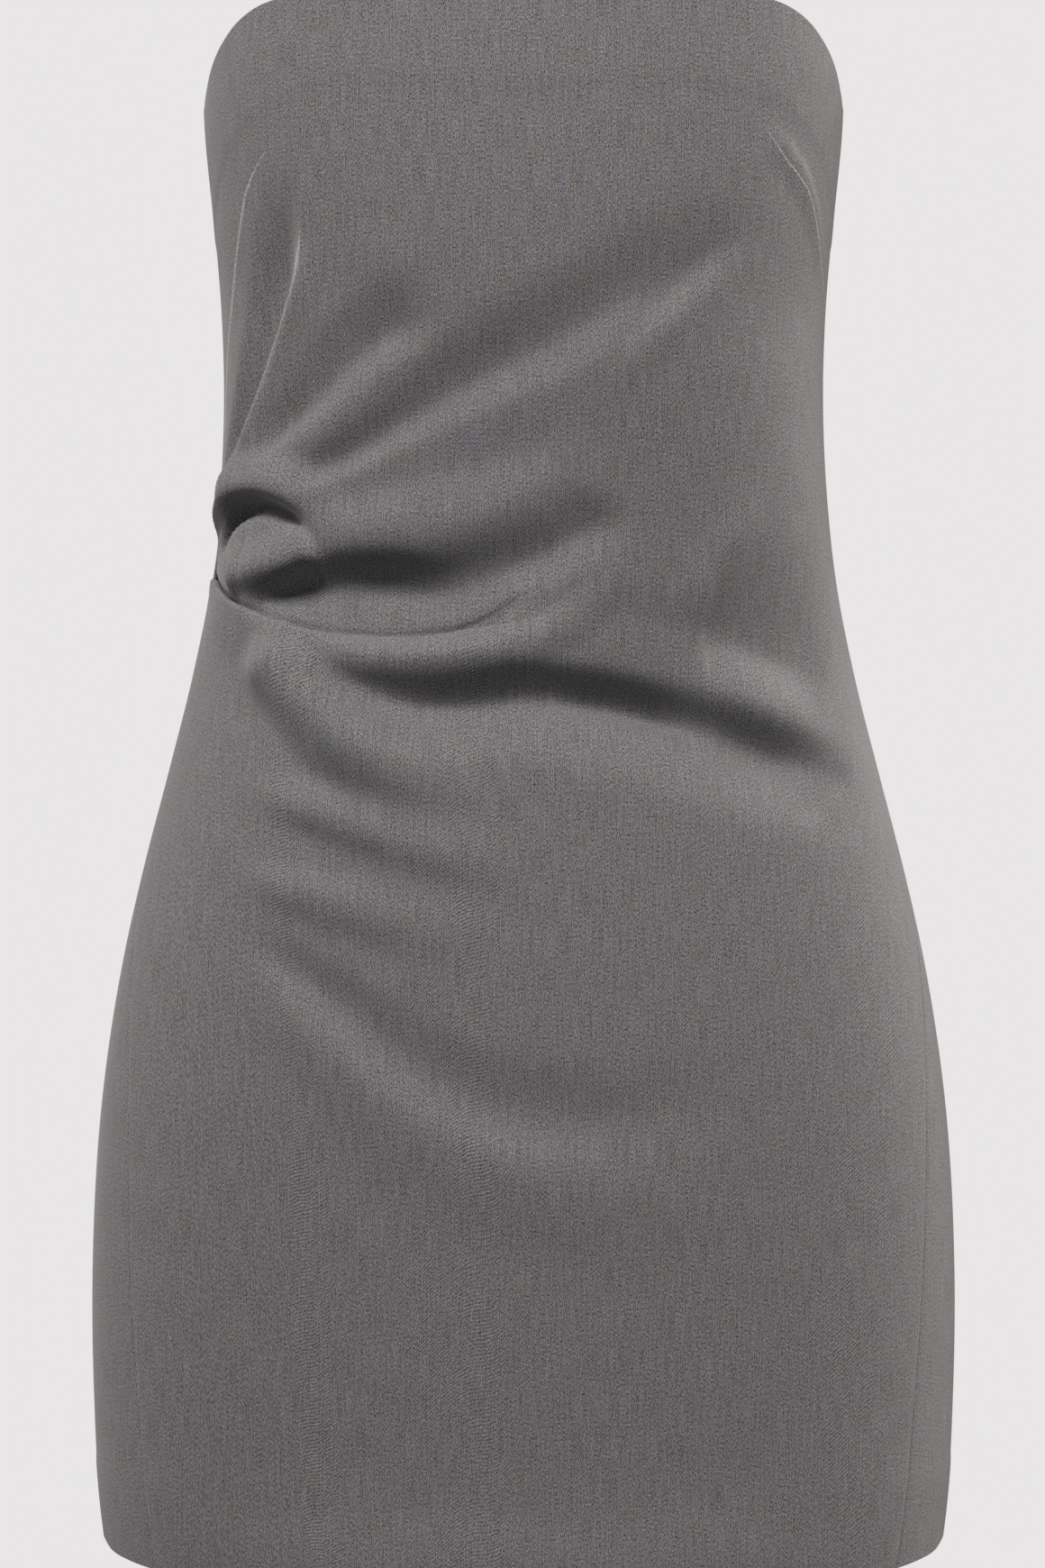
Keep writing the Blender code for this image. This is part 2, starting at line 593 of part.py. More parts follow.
def add_pull(material):
    """The pull tab: a flat teardrop with an eye round the bail, hung on its own top bar."""
    outline = bpy.data.curves.new("zip_pull", "CURVE")
    outline.dimensions = "2D"
    outline.fill_mode = "BOTH"
    outline.extrude = PULL_THICKNESS / 2 * MM
    head, tail = PULL_HEAD_WIDTH / 2, PULL_TAIL_WIDTH / 2
    bar = PULL_THICKNESS / 2
    low = -(PULL_LENGTH - tail)
    round_end = [
        (tail * math.cos(math.radians(a)), low - tail * math.sin(math.radians(a)))
        for a in range(0, 181, 20)
    ]
    outer = [(head - 0.5, bar), (head, bar - 0.5), (head, -5), *round_end, (-head, -5),
             (-head, bar - 0.5), (-head + 0.5, bar)]
    eye = PULL_EYE_WIDTH / 2
    hole = [(-eye, -bar), (eye, -bar), (eye, -PULL_EYE_REACH), (-eye, -PULL_EYE_REACH)]
    for points in (outer, hole):
        spline = outline.splines.new("POLY")
        spline.points.add(len(points) - 1)
        spline.use_cyclic_u = True
        for point, (x, y) in zip(spline.points, points):
            point.co = (x * MM, y * MM, 0, 1)
    flat = bpy.data.objects.new("outline", outline)
    flat.matrix_world = (
        Matrix.Translation(pivot_place()) @ Matrix.Rotation(math.radians(90), 4, "X")
    )
    DRESS.objects.link(flat)
    bpy.context.view_layer.update()
    pull = mesh_object("zip_pull", flat)
    DRESS.objects.link(pull)
    pull.data.materials.clear()
    pull.data.materials.append(material)
    return pull


def pivot_place():
    """Middle of the pull tab's axis, which runs along X."""
    out = SEAM_GAP + SLIDER_SIZE[1] + PIVOT_STANDOFF
    return slider_face() + Vector((0, out * MM, 0))


for old in list(bpy.data.objects):
    bpy.data.objects.remove(old)
DRESS = bpy.data.collections.new("mini_dress")
CUTTERS = bpy.data.collections.new("joined_pieces")
bpy.context.scene.collection.children.link(DRESS)
bpy.context.scene.collection.children.link(CUTTERS)

suiting = plain_material("grey_suiting", CLOTH_COLOUR, 0.8)
tape_cloth = plain_material("zip_tape_cloth", TAPE_COLOUR, 0.75)
painted_metal = plain_material("painted_metal", METAL_COLOUR, 0.4)

grid_panel("front", front_points(), suiting)
grid_panel("back_left", back_points(1)[:, ::-1], suiting)
grid_panel("back_right", back_points(-1), suiting)
add_zip_tape(tape_cloth)
add_slider(painted_metal)
add_pull(painted_metal)
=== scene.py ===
import math

import bmesh
import bpy
import numpy as np
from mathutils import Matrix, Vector


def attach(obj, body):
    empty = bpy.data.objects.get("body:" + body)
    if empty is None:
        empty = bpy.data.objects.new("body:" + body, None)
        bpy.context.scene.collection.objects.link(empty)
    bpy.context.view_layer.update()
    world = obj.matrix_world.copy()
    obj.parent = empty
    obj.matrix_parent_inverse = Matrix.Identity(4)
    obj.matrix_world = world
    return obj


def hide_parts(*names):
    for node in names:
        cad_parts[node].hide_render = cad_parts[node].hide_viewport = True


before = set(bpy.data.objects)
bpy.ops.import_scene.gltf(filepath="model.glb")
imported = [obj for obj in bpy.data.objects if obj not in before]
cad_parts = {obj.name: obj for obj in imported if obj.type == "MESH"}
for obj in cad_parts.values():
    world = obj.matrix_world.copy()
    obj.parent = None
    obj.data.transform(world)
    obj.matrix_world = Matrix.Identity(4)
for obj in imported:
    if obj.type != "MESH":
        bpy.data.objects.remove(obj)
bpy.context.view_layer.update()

# Front
# One piece of mid-grey twill suiting from neckline to hem. French darts shape it, and a deep tuck
# with loose pleats is drawn into the wearer's right side seam, so the cloth drapes out of it.
# Every size below is in millimetres; the worn form is the outside of the cloth.

MM = 0.001
WALL = 1.2
SEAM_GAP = 0.1

FORM_COLUMNS = ("height", "half_width", "front", "back", "front_square", "back_square")
FORM = (
    (70, 137.0, 92, 83, 2.35, 2.3),
    (0, 141.3, 100, 86, 2.40, 2.3),
    (-50, 137.0, 103, 86, 2.40, 2.3),
    (-90, 133.8, 103, 84, 2.35, 2.3),
    (-130, 132.6, 99.5, 80, 2.6, 2.3),
    (-170, 134.2, 96, 80, 2.75, 2.3),
    (-210, 138.6, 95, 85, 2.6, 2.3),
    (-250, 146.6, 97, 94, 2.30, 2.3),
    (-290, 156.6, 100.5, 104, 2.35, 2.3),
    (-330, 167.0, 104.5, 114, 2.40, 2.3),
    (-370, 176.2, 108, 121, 2.40, 2.35),
    (-430, 185.8, 111.5, 124, 2.40, 2.4),
    (-510, 190.8, 113, 120, 2.40, 2.4),
    (-570, 190.1, 113, 115, 2.40, 2.4),
    (-606, 188.2, 112.5, 113, 2.40, 2.4),
    (-630, 185.5, 112, 111, 2.40, 2.4),
    (-650, 182.0, 111.5, 110, 2.40, 2.4),
)

# The front's edges and folds are laid out as they are seen from this far in front, at this height
VIEW_DISTANCE = 2600
VIEW_HEIGHT = -298

# Upper and lower edge of the front, as seen: out from the middle, and height
NECKLINE = (
    (0, 57), (60, 56.2), (95, 53.6), (111, 50), (119.6, 46), (124.8, 42), (128.6, 38),
    (131.4, 34), (135.8, 26), (138.6, 18), (140.4, 9), (141.1, 4.5), (141.3, 2),
)
HEM = (
    (0, -664), (80, -661.5), (130, -655), (150, -650.8), (164, -646.6), (171, -644.2),
    (176.4, -641.8), (180.6, -639.4), (183.2, -637), (184.9, -634), (186.0, -630),
)
# The back's edges: share of the way from the middle to the side, and height
BACK_NECKLINE = ((0, -12), (0.5, -11), (0.8, -6.5), (0.93, -1.5), (1, 2))
BACK_HEM = ((0, -641), (0.6, -639.5), (0.85, -636), (1, -630))
HEM_LEVEL = -640

# How far each side seam is set forward of the side, by height
SIDE_SEAM_COLUMNS = ("height", "right", "left")
SIDE_SEAM = (
    (70, 0, 0),
    (-230, 0, 0),
    (-300, 8, 5),
    (-340, 22, 16),
    (-370, 36, 28),
    (-430, 56, 48),
    (-520, 68, 63),
    (-650, 76, 73),
)

# The tuck's folded edge, as seen, with the depth of cloth hidden behind the edge and how much of
# the tuck is there, 1 or less where it runs out
TUCK_COLUMNS = ("x", "z", "depth", "presence")
TUCK = (
    (-138, -208, 12, 1),
    (-124, -221, 13, 1),
    (-112, -226, 13, 1),
    (-90, -232, 12, 1),
    (-70, -234, 10, 1),
    (-48, -234, 8, 1),
    (-30, -231.5, 5, 1),
    (-12, -226.5, 3, 0.55),
    (0, -222, 2, 0.3),
    (14, -218, 2, 0),
    (46, -214, 2, 0),
    (92, -214, 2, 0),
    (140, -214, 2, 0),
)
LAYER_STEP = 1.8  # from one layer of the tuck to the next
EDGE_REACH = 6  # how far above and below the edge the tuck's own rows reach
OPEN_REACH = 13  # the same where the tuck has run out
TUCK_FADE_ABOVE = 14  # about how far above the tuck's rows the cloth still follows its layers
TUCK_FADE_BELOW = 12

# Folds, each a crest or, with a height under 0, a valley. They are drawn from the wearer's right
# to the left, as seen: the width on each side is measured along the cloth. A roundness of 2 is a
# soft crest, and less is a sharper one. Pinch is the share of its width that a fold starts with, and
# PINCH_END the share of its length at which it has its full width.
PINCH_END = 0.6
FOLD_COLUMNS = (
    "name", "height", "above", "below", "roundness", "pinch", "fade_in", "fade_out", "points"
)
FRONT_FOLDS = (
    ("dart_hollow", -7.0, 20, 12, 2, 0.6, 0.2, 0.35,
     ((-133.5, -172), (-131, -160), (-125, -136), (-118, -112), (-112, -90), (-108.5, -70),
      (-107, -44), (-109, -22))),
    ("dart_left", 1.5, 4, 14, 2, 1, 0.3, 0.5,
     ((104, 0), (112, -9), (122, -22), (128.5, -38), (131.5, -54), (134, -84))),
    ("pleat_top", 3.6, 6, 16, 1.6, 1, 0.12, 0.3,
     ((-133, -172), (-124, -145), (-116, -116), (-107, -93), (-101, -74), (-98, -50))),
    ("hollow_beside_pleat", -5.4, 25, 15, 1.6, 0.45, 0.25, 0.28,
     ((-119, -153), (-105, -138), (-88, -120), (-70, -104), (-50, -93), (-32, -89))),
    ("bust_smudge", 0.9, 18, 17, 2, 1, 0.5, 0.5, ((-86, -68), (-62, -63), (-38, -68))),
    ("drag_line", -5.4, 32, 19, 1.7, 0.4, 0.12, 0.32,
     ((-108, -164), (-92, -159), (-74, -150), (-52, -137), (-25, -121), (2, -107), (30, -92),
      (54, -78), (74, -65), (94, -51), (110, -39))),
    ("drag_line_low", -1.8, 12, 9, 1.6, 0.6, 0.4, 0.35,
     ((30, -120), (42, -106), (56, -90), (80, -69), (100, -50))),
    ("drag_crest_low", 0.8, 10, 16, 1.7, 0.6, 0.45, 0.3,
     ((34, -130), (50, -112), (66, -96), (86, -77), (106, -56))),
    ("pleat_arch", 7.0, 19, 5.2, 2, 1, 0.15, 0.3,
     ((-136, -188), (-131.5, -174), (-124, -167.5), (-114, -166.5), (-103, -171), (-93, -180),
      (-87, -192))),
    ("pleat_slot", -8.5, 5, 5, 1.6, 1, 0.12, 0.4,
     ((-135, -196), (-130.5, -183), (-123, -177), (-113, -176), (-103, -180.5), (-95, -189),
      (-91, -197))),
    ("pleat_pillow", 5.8, 19, 10, 1.8, 1, 0.15, 0.12,
     ((-132, -209), (-122, -204), (-110, -200.5), (-98, -197), (-89, -192.5))),
    ("pillow_crease", -1.6, 3, 5, 1.6, 1, 0.3, 0.3,
     ((-127, -219), (-124.5, -208), (-123.5, -196), (-126, -184))),
    ("pleat_roll", 5.0, 26, 24, 2, 0.6, 0.25, 0.4,
     ((-112, -196), (-88, -190), (-60, -186), (-24, -182), (6, -173), (34, -163), (52, -158))),
    ("pleat_hollow", -8.2, 17, 25, 1.5, 0.4, 0.25, 0.4,
     ((-127, -220), (-112, -214.5), (-88, -209.5), (-62, -208.5), (-42, -211), (-22, -213))),
    ("pleat_sink", -4.4, 34, 13, 2, 0.5, 0.4, 0.35,
     ((-116, -220), (-94, -225), (-66, -229), (-32, -227.5), (-6, -220), (4, -214))),
    ("pleat_tongue", -4.6, 30, 16, 1.6, 0.7, 0.4, 0.18,
     ((-88, -211), (-62, -211), (-38, -213), (-12, -205), (18, -191), (36, -179.5), (44, -168))),
    ("tuck_crest", 3.2, 10, 13, 2, 1, 0.2, 0.5,
     ((-112, -233), (-96, -239), (-60, -241), (-30, -240), (0, -235), (22, -224), (38, -208),
      (46, -192), (46, -176))),
    ("hip_roll", 3.4, 26, 14, 2, 0.8, 0.62, 0.25,
     ((-80, -240), (-40, -240), (0, -240), (34, -244), (64, -250), (86, -256), (107, -264),
      (126, -271), (142, -279))),
    ("hip_hollow", -10.5, 18, 36, 1.5, 0.7, 0.25, 0.22,
     ((-96, -252), (-70, -258), (-44, -262), (-20, -261), (2, -258), (34, -262), (64, -269),
      (90, -277), (115, -286), (136, -292), (152, -298))),
    ("hip_slope", -8.5, 60, 14, 1.6, 0.8, 0.45, 0.36,
     ((-6, -262), (16, -260), (40, -262), (62, -267), (94, -276))),
    ("hip_corner", 2.6, 16, 12, 1.7, 1, 0.35, 0.45,
     ((79, -236), (80, -228), (83, -214), (90, -196), (99, -178), (107, -160))),
    ("waist_hollow_left", -5.0, 60, 24, 1.5, 0.8, 0.12, 0.3,
     ((77, -236), (92, -237), (108, -241), (124, -247), (138, -255))),
    ("hip_flick", -2.2, 6, 6, 2, 1, 0.4, 0.25, ((118, -318), (130, -310), (140, -300), (147, -289))),
    ("skirt_drape_1", 10.8, 24, 24, 2, 0.8, 0.15, 0.55,
     ((-122, -232), (-110, -246), (-95, -262), (-78, -278), (-58, -291), (-36, -299), (-10, -303))),
    ("skirt_drape_2", 4.4, 18, 14, 2, 0.7, 0.3, 0.6,
     ((-130, -299), (-106, -306), (-80, -315), (-54, -324), (-20, -333), (16, -338))),
    ("skirt_drape_3", 3.2, 15, 16, 2, 0.7, 0.3, 0.55,
     ((-134, -335), (-106, -344), (-76, -353), (-44, -362), (-4, -372))),
    ("skirt_hollow_4", -3.6, 28, 19, 1.8, 0.45, 0.2, 0.45,
     ((-130, -358), (-114, -371), (-92, -389), (-66, -410), (-38, -430), (0, -444), (40, -448),
      (80, -443), (118, -430))),
    ("skirt_drape_4", 2.4, 18, 36, 2, 0.45, 0.2, 0.5,
     ((-130, -371), (-112, -391), (-90, -415), (-62, -440), (-34, -460), (0, -474), (40, -480),
      (84, -474), (120, -460))),
    ("hem_flare", 3.4, 34, 16, 2, 1, 0.3, 0.3,
     ((-160, -642), (-80, -650), (0, -653), (80, -650), (160, -642))),
)
# The French darts' seams and the pleat's pressed edge, as seen, from the top down, with half the
# line's width at the top and at its lower end. The front's colour has a painted highlight along them
PRESSED_COLUMNS = ("name", "top_width", "end_width", "points")
PRESSED_LINES = (
    ("dart_right", 0.8, 2.6,
     ((-112, -13), (-118, -23), (-122.8, -34), (-126, -52), (-128, -69), (-130.3, -93),
      (-131.6, -110), (-133, -150))),
    ("dart_left", 0.8, 0.6,
     ((105, -3), (115, -19), (126, -36), (130, -54), (133, -76), (134, -104))),
    ("pleat_edge", 3.4, 1.4,
     ((-99.7, -48), (-100.2, -60), (-103, -76), (-110, -99.5), (-118.4, -125), (-127, -150),
      (-133.3, -169))),
)
# Each line narrows towards its ends to this share of its width, over these shares of its length
LINE_END_WIDTH = 0.05
LINE_TAPER_TOP = 0.2
LINE_TAPER_END = 0.1
# The neckline facing and the hem allowance lie behind the cloth and press it out by this much, in
# a step this long
PRESSED_OUT = 0.35
PRESSED_REACH = 4.0
FACING_EDGE = ((0, -2), (95, -2), (120, -8), (145, -24), (175, -52), (330, -66))
HEM_ALLOWANCE_TOP = -593
SEAM_HOLD = 9  # hollows die away over this much cloth, where a seam holds them
CREST_HOLD = 62  # the same for crests
CURVE_POINTS = 64

FRONT_COLUMNS = 204
FRONT_COLUMN_SKEW = 0.25  # more columns at the wearer's right, where the folds are
ROWS_ABOVE_TUCK = 94
ROWS_BELOW_TUCK = 98
ROWS_CROWD_ABOVE = 0.9  # under 1, rows lie closer to the tuck than to the neckline
ROWS_CROWD_BELOW = 1.25  # over 1, rows lie closer to the tuck than to the hem
# Rows this far from the neckline and from the hem, where the cloth turns over
EDGE_ROWS = (0, 0.4, 1.0, 2.0)
# Columns this far from a panel's edge, where the seam draws the cloth in by SEAM_DIP
SEAM_COLUMNS = (0, 0.5, 1.1, 2.0, 3.2)
SEAM_BAND = 5
SEAM_DIP = 0.4
SEAM_DIP_REACH = 1.1


def column(rows, columns, name):
    """One named column of a table, as numbers."""
    return np.array([row[columns.index(name)] for row in rows], float)


def ease(share):
    """A smooth step from 0 to 1."""
    t = np.clip(share, 0.0, 1.0)
    return t * t * (3 - 2 * t)


def smooth_through(x, known_x, known_y):
    """A smooth curve through the known points, read at x."""
    known_x, known_y = np.asarray(known_x, float), np.asarray(known_y, float)
    if known_x[0] > known_x[-1]:
        known_x, known_y = known_x[::-1], known_y[::-1]
    x = np.clip(x, known_x[0], known_x[-1])
    slope = np.gradient(known_y, known_x)
    i = np.clip(np.searchsorted(known_x, x) - 1, 0, len(known_x) - 2)
    width = known_x[i + 1] - known_x[i]
    t = (x - known_x[i]) / width
    rise, late = ease(t), t * t * (t - 1)
    return (
        known_y[i] * (1 - rise)
        + known_y[i + 1] * rise
        + width * (slope[i] * t * (1 - t) ** 2 + slope[i + 1] * late)
    )


def form(name, height):
    """One measure of the worn form at each height."""
    return smooth_through(
        height, column(FORM, FORM_COLUMNS, "height"), column(FORM, FORM_COLUMNS, name)
    )


def quarter(angle, height, face):
    """Points of the outline, by the angle from the middle of the front or back round to the side."""
    width, depth = form("half_width", height), form(face, height)
    square = form(face + "_square", height)
    reach = (
        (np.sin(angle) / width) ** square + (np.abs(np.cos(angle)) / depth) ** square
    ) ** (-1 / square)
    return reach * np.sin(angle), reach * np.cos(angle)


class Face:
    """The front or the back of the form, read by the share of the way round to the side."""

    ANGLES = np.linspace(0, math.pi / 2, 181)
    STEP = 5.0
    HEIGHTS = np.arange(-700, 101, STEP)
    SHARES = np.linspace(0, 1, 121)

    def __init__(self, name, side):
        self.name, self.side = name, side
        rows = []
        for height in self.HEIGHTS:
            x, y = quarter(self.ANGLES, np.full(self.ANGLES.shape, height), name)
            steps = np.hypot(np.diff(x), np.diff(y))
            rows.append(np.concatenate([[0], np.cumsum(steps)]))
        lengths = np.array(rows)
        self.round = lengths[:, -1]
        self.angle_of = np.array(
            [np.interp(self.SHARES, row / row[-1], self.ANGLES) for row in lengths]
        )

    def girth(self, height):
        """Length of cloth from the middle round to the side."""
        return np.interp(height, self.HEIGHTS, self.round)

    def rows_at(self, height):
        """The table's row above each height, and how far on to the next row it is."""
        row = np.clip(height, self.HEIGHTS[0], self.HEIGHTS[-1] - 0.01) - self.HEIGHTS[0]
        return np.divmod(row / self.STEP, 1)

    def point(self, share, height):
        """Points on the outside, for shares from -1 at the wearer's right to 1 at the left."""
        share, height = np.broadcast_arrays(
            np.asarray(share, float), np.asarray(height, float)
        )
        i, down = self.rows_at(height)
        j, along = np.divmod(np.clip(np.abs(share), 0, 0.99999) * (len(self.SHARES) - 1), 1)
        i, j, table = i.astype(int), j.astype(int), self.angle_of
        angle = (table[i, j] * (1 - down) + table[i + 1, j] * down) * (1 - along) + (
            table[i, j + 1] * (1 - down) + table[i + 1, j + 1] * down
        ) * along
        x, y = quarter(angle, height, self.name)
        return np.stack([np.sign(share) * x, self.side * y, height], axis=-1)

    def outward(self, share, height):
        """Unit vectors square to the cloth."""
        share, height = np.clip(share, -0.995, 0.995), np.asarray(height, float)
        across = self.point(share + 0.004, height) - self.point(share - 0.004, height)
        down = self.point(share, height - 1) - self.point(share, height + 1)
        normal = np.cross(across, down) * self.side
        return normal / np.linalg.norm(normal, axis=-1, keepdims=True)

    def as_seen(self, x, z):
        """The points that a viewer straight in front sees at x and z, in the plane of the axis."""
        x, z = np.asarray(x, float), np.asarray(z, float)
        y = np.zeros(x.shape)
        for _ in range(12):
            nearer = (VIEW_DISTANCE - y) / VIEW_DISTANCE
            real_x, real_z = x * nearer, VIEW_HEIGHT + (z - VIEW_HEIGHT) * nearer
            square = form(self.name + "_square", real_z)
            out = np.clip(np.abs(real_x) / form("half_width", real_z), 0, 0.99999)
            y = form(self.name, real_z) * (1 - out**square) ** (1 / square)
        return np.stack([real_x, self.side * y, real_z], axis=-1)

    def share_of(self, points):
        """The share of the way round for points on this face."""
        angle = np.arctan2(np.abs(points[..., 0]), np.abs(points[..., 1]))
        i, down = self.rows_at(points[..., 2])
        found = [
            np.interp(a, self.angle_of[k] * (1 - f) + self.angle_of[k + 1] * f, self.SHARES)
            for a, k, f in zip(angle.ravel(), i.ravel().astype(int), down.ravel())
        ]
        return np.sign(points[..., 0]) * np.array(found).reshape(angle.shape)


FRONT = Face("front", -1)
BACK = Face("back", 1)


def edge_height(arc, level, front_rows, back_rows):
    """Height of the neckline or hem, near the given level, by the arc from the front's middle."""
    arc = np.abs(arc)
    seen = FRONT.as_seen(*np.array(front_rows, float).T)
    front_arc, back_arc = FRONT.girth(level), BACK.girth(level)
    front = smooth_through(arc / front_arc, np.abs(FRONT.share_of(seen)), seen[:, 2])
    back = smooth_through(1 - (arc - front_arc) / back_arc, *np.array(back_rows, float).T)
    return np.where(arc > front_arc, back, front)


def top_height(arc):
    """Height of the neckline all round."""
    return edge_height(arc, 0.0, NECKLINE, BACK_NECKLINE)


def hem_height(arc):
    """Height of the hem all round."""
    return edge_height(arc, HEM_LEVEL, HEM, BACK_HEM)


def resample(points, count):
    """Evenly spaced points on a smooth curve through the given ones."""
    points = np.asarray(points, float)
    along = np.concatenate([[0], np.cumsum(np.linalg.norm(np.diff(points, axis=0), axis=1))])
    fine = np.linspace(0, along[-1], 8 * count)
    curve = np.stack([smooth_through(fine, along, points[:, k]) for k in range(3)], axis=1)
    length = np.concatenate([[0], np.cumsum(np.linalg.norm(np.diff(curve, axis=0), axis=1))])
    even = np.linspace(0, length[-1], count)
    return np.stack([np.interp(even, length, curve[:, k]) for k in range(3)], axis=1)


def beside_curve(face, seen, points):
    """How far along a curve that is drawn as seen each point lies, from 0 to 1, how far from it, and
    how far off to its upper side."""
    curve = resample(face.as_seen(*np.array(seen, float).T), CURVE_POINTS)
    tangent = np.gradient(curve, axis=0)
    spacing = np.linalg.norm(tangent, axis=1)
    tangent /= spacing[:, None]
    up_side = np.cross(face.outward(face.share_of(curve), curve[:, 2]), tangent) * -face.side
    near = np.linalg.norm(points[:, None] - curve[None], axis=2).argmin(axis=1)
    off = points - curve[near]
    half = spacing[near] / 2
    slide = np.clip((off * tangent[near]).sum(axis=1), -half, half)
    off -= slide[:, None] * tangent[near]
    along = (near + slide / (2 * half)) / (CURVE_POINTS - 1)
    return along, np.linalg.norm(off, axis=1), (off * up_side[near]).sum(axis=1)


def fold_height(face, folds, points):
    """How far the folds lift each point of the plain form."""
    flat = points.reshape(-1, 3)
    lift = np.zeros(len(flat))
    for row in folds:
        fold = dict(zip(FOLD_COLUMNS, row))
        along, distance, side = beside_curve(face, fold["points"], flat)
        width = np.where(side > 0, fold["above"], fold["below"])
        width = width * (fold["pinch"] + (1 - fold["pinch"]) * ease(along / PINCH_END))
        away = np.clip(distance / width, 0, 1)
        fade = ease(along / fold["fade_in"]) * ease((1 - along) / fold["fade_out"])
        lift += fold["height"] * fade * (1 - away ** fold["roundness"]) ** 2
    return lift.reshape(points.shape[:-1])


def held_folds(lift, from_seam):
    """Folds as a seam holds them: they die away towards it, crests sooner than hollows."""
    crest = np.maximum(lift, 0) * ease(from_seam / CREST_HOLD)
    return crest + np.minimum(lift, 0) * ease(from_seam / SEAM_HOLD)


def seam_share(side, height):
    """Share of the way round from the front's middle to the side at which a side seam lies."""
    known_heights = column(SIDE_SEAM, SIDE_SEAM_COLUMNS, "height")
    forward = smooth_through(height, known_heights, column(SIDE_SEAM, SIDE_SEAM_COLUMNS, side))
    return 1 - forward / FRONT.girth(height)


def round_form(arc, height):
    """Centre points and normals of the plain cloth, by the arc from the front's middle, left
    positive. An arc longer than the way to the side goes on round the back."""
    side_arc = FRONT.girth(height)
    past = np.abs(arc) > side_arc
    front_share = np.clip(arc / side_arc, -1, 1)
    back_share = np.sign(arc) * (1 - (np.abs(arc) - side_arc) / BACK.girth(height))
    points = np.where(
        past[..., None], BACK.point(back_share, height), FRONT.point(front_share, height)
    )
    normal = np.where(
        past[..., None], BACK.outward(back_share, height), FRONT.outward(front_share, height)
    )
    return points - normal * WALL / 2, normal


def pressed_out(arc, height):
    """How far the facing and the hem allowance behind the cloth lift it."""
    facing = smooth_through(np.abs(arc), *np.array(FACING_EDGE, float).T)
    over_facing = ease((height - facing) / PRESSED_REACH)
    over_hem = ease((HEM_ALLOWANCE_TOP - height) / PRESSED_REACH)
    return PRESSED_OUT * (over_facing + over_hem)


def line_distances(points):
    """How far each point of the front lies from each pressed line, as a share of half the line's
    width there, under 0 on one of its sides."""
    flat = points.reshape(-1, 3)
    shares = []
    for row in PRESSED_LINES:
        line = dict(zip(PRESSED_COLUMNS, row))
        along, distance, side = beside_curve(FRONT, line["points"], flat)
        width = line["top_width"] + (line["end_width"] - line["top_width"]) * along
        taper = ease(along / LINE_TAPER_TOP) * ease((1 - along) / LINE_TAPER_END)
        width = width * (LINE_END_WIDTH + taper)
        shares.append(np.copysign(distance, side) / width)
    return np.stack(shares, axis=1)


def panel_columns(place, low, high):
    """Arcs of a panel's columns between its two edges: place runs from 0 to 1 between the bands
    along the edges, which have columns of their own."""
    edge = np.array(SEAM_COLUMNS)
    low, high = np.asarray(low, float), np.asarray(high, float)
    inner = low + SEAM_BAND + (high - low - 2 * SEAM_BAND) * place
    first = low + edge + np.zeros((len(inner), 1))
    last = high - edge[::-1] + np.zeros((len(inner), 1))
    return np.concatenate([first, inner, last], axis=1)


def edge_rows(top, hem):
    """Heights of the close rows along the neckline and along the hem."""
    away = np.array(EDGE_ROWS)[:, None]
    return top - away, hem + away[::-1]


def inner_rows(count, edges):
    """How far down the other rows lie, from 0 to 1, when some of the count go to the edges."""
    return np.linspace(0, 1, count - edges * len(EDGE_ROWS) + 2)[1:-1, None]


def seam_dip(arc, low, high):
    """How far a seam draws the cloth in, by the distance to the panel's nearer edge."""
    edge = np.minimum(arc - low, high - arc)
    return -SEAM_DIP * np.exp(-edge / SEAM_DIP_REACH)


def place_object(name, data):
    """A new object in the scene."""
    made = bpy.data.objects.new(name, data)
    bpy.context.scene.collection.objects.link(made)
    return made


def cloth_panel(name, points, cloth_x, cloth_y, material, from_lines=None):
    """A shell through rows and columns of centre points, with its flat cut as the UV map, in metres,
    and, for the front, each point's distances from the three pressed lines."""
    rows, columns = points.shape[:2]
    mesh = bpy.data.meshes.new(name)
    bm = bmesh.new()
    bmesh.ops.create_grid(bm, x_segments=columns - 1, y_segments=rows - 1, size=1)
    bm.verts.ensure_lookup_table()
    for vert, place in zip(bm.verts, points.reshape(-1, 3) * MM):
        vert.co = place
    bm.normal_update()
    bm.to_mesh(mesh)
    bm.free()
    flat = np.stack([cloth_x.ravel(), cloth_y.ravel()], axis=1) * MM
    corner = np.empty(len(mesh.loops), int)
    mesh.loops.foreach_get("vertex_index", corner)
    layer = mesh.uv_layers.new(name="cloth")
    layer.uv.foreach_set("vector", flat[corner].ravel().astype(np.float32))
    if from_lines is not None:
        lines = mesh.attributes.new("from_lines", "FLOAT_VECTOR", "POINT")
        lines.data.foreach_set("vector", from_lines.ravel().astype(np.float32))
    mesh.materials.append(material)
    mesh.shade_smooth()
    panel = place_object(name, mesh)
    thick = panel.modifiers.new("cloth thickness", "SOLIDIFY")
    thick.thickness = WALL * MM
    thick.offset = 0
    return panel


def along_cloth(points):
    """Length of cloth down each column from the top, in millimetres, counted down."""
    steps = np.linalg.norm(np.diff(points, axis=0), axis=2)
    return -np.concatenate([np.zeros((1, points.shape[1])), np.cumsum(steps, axis=0)])


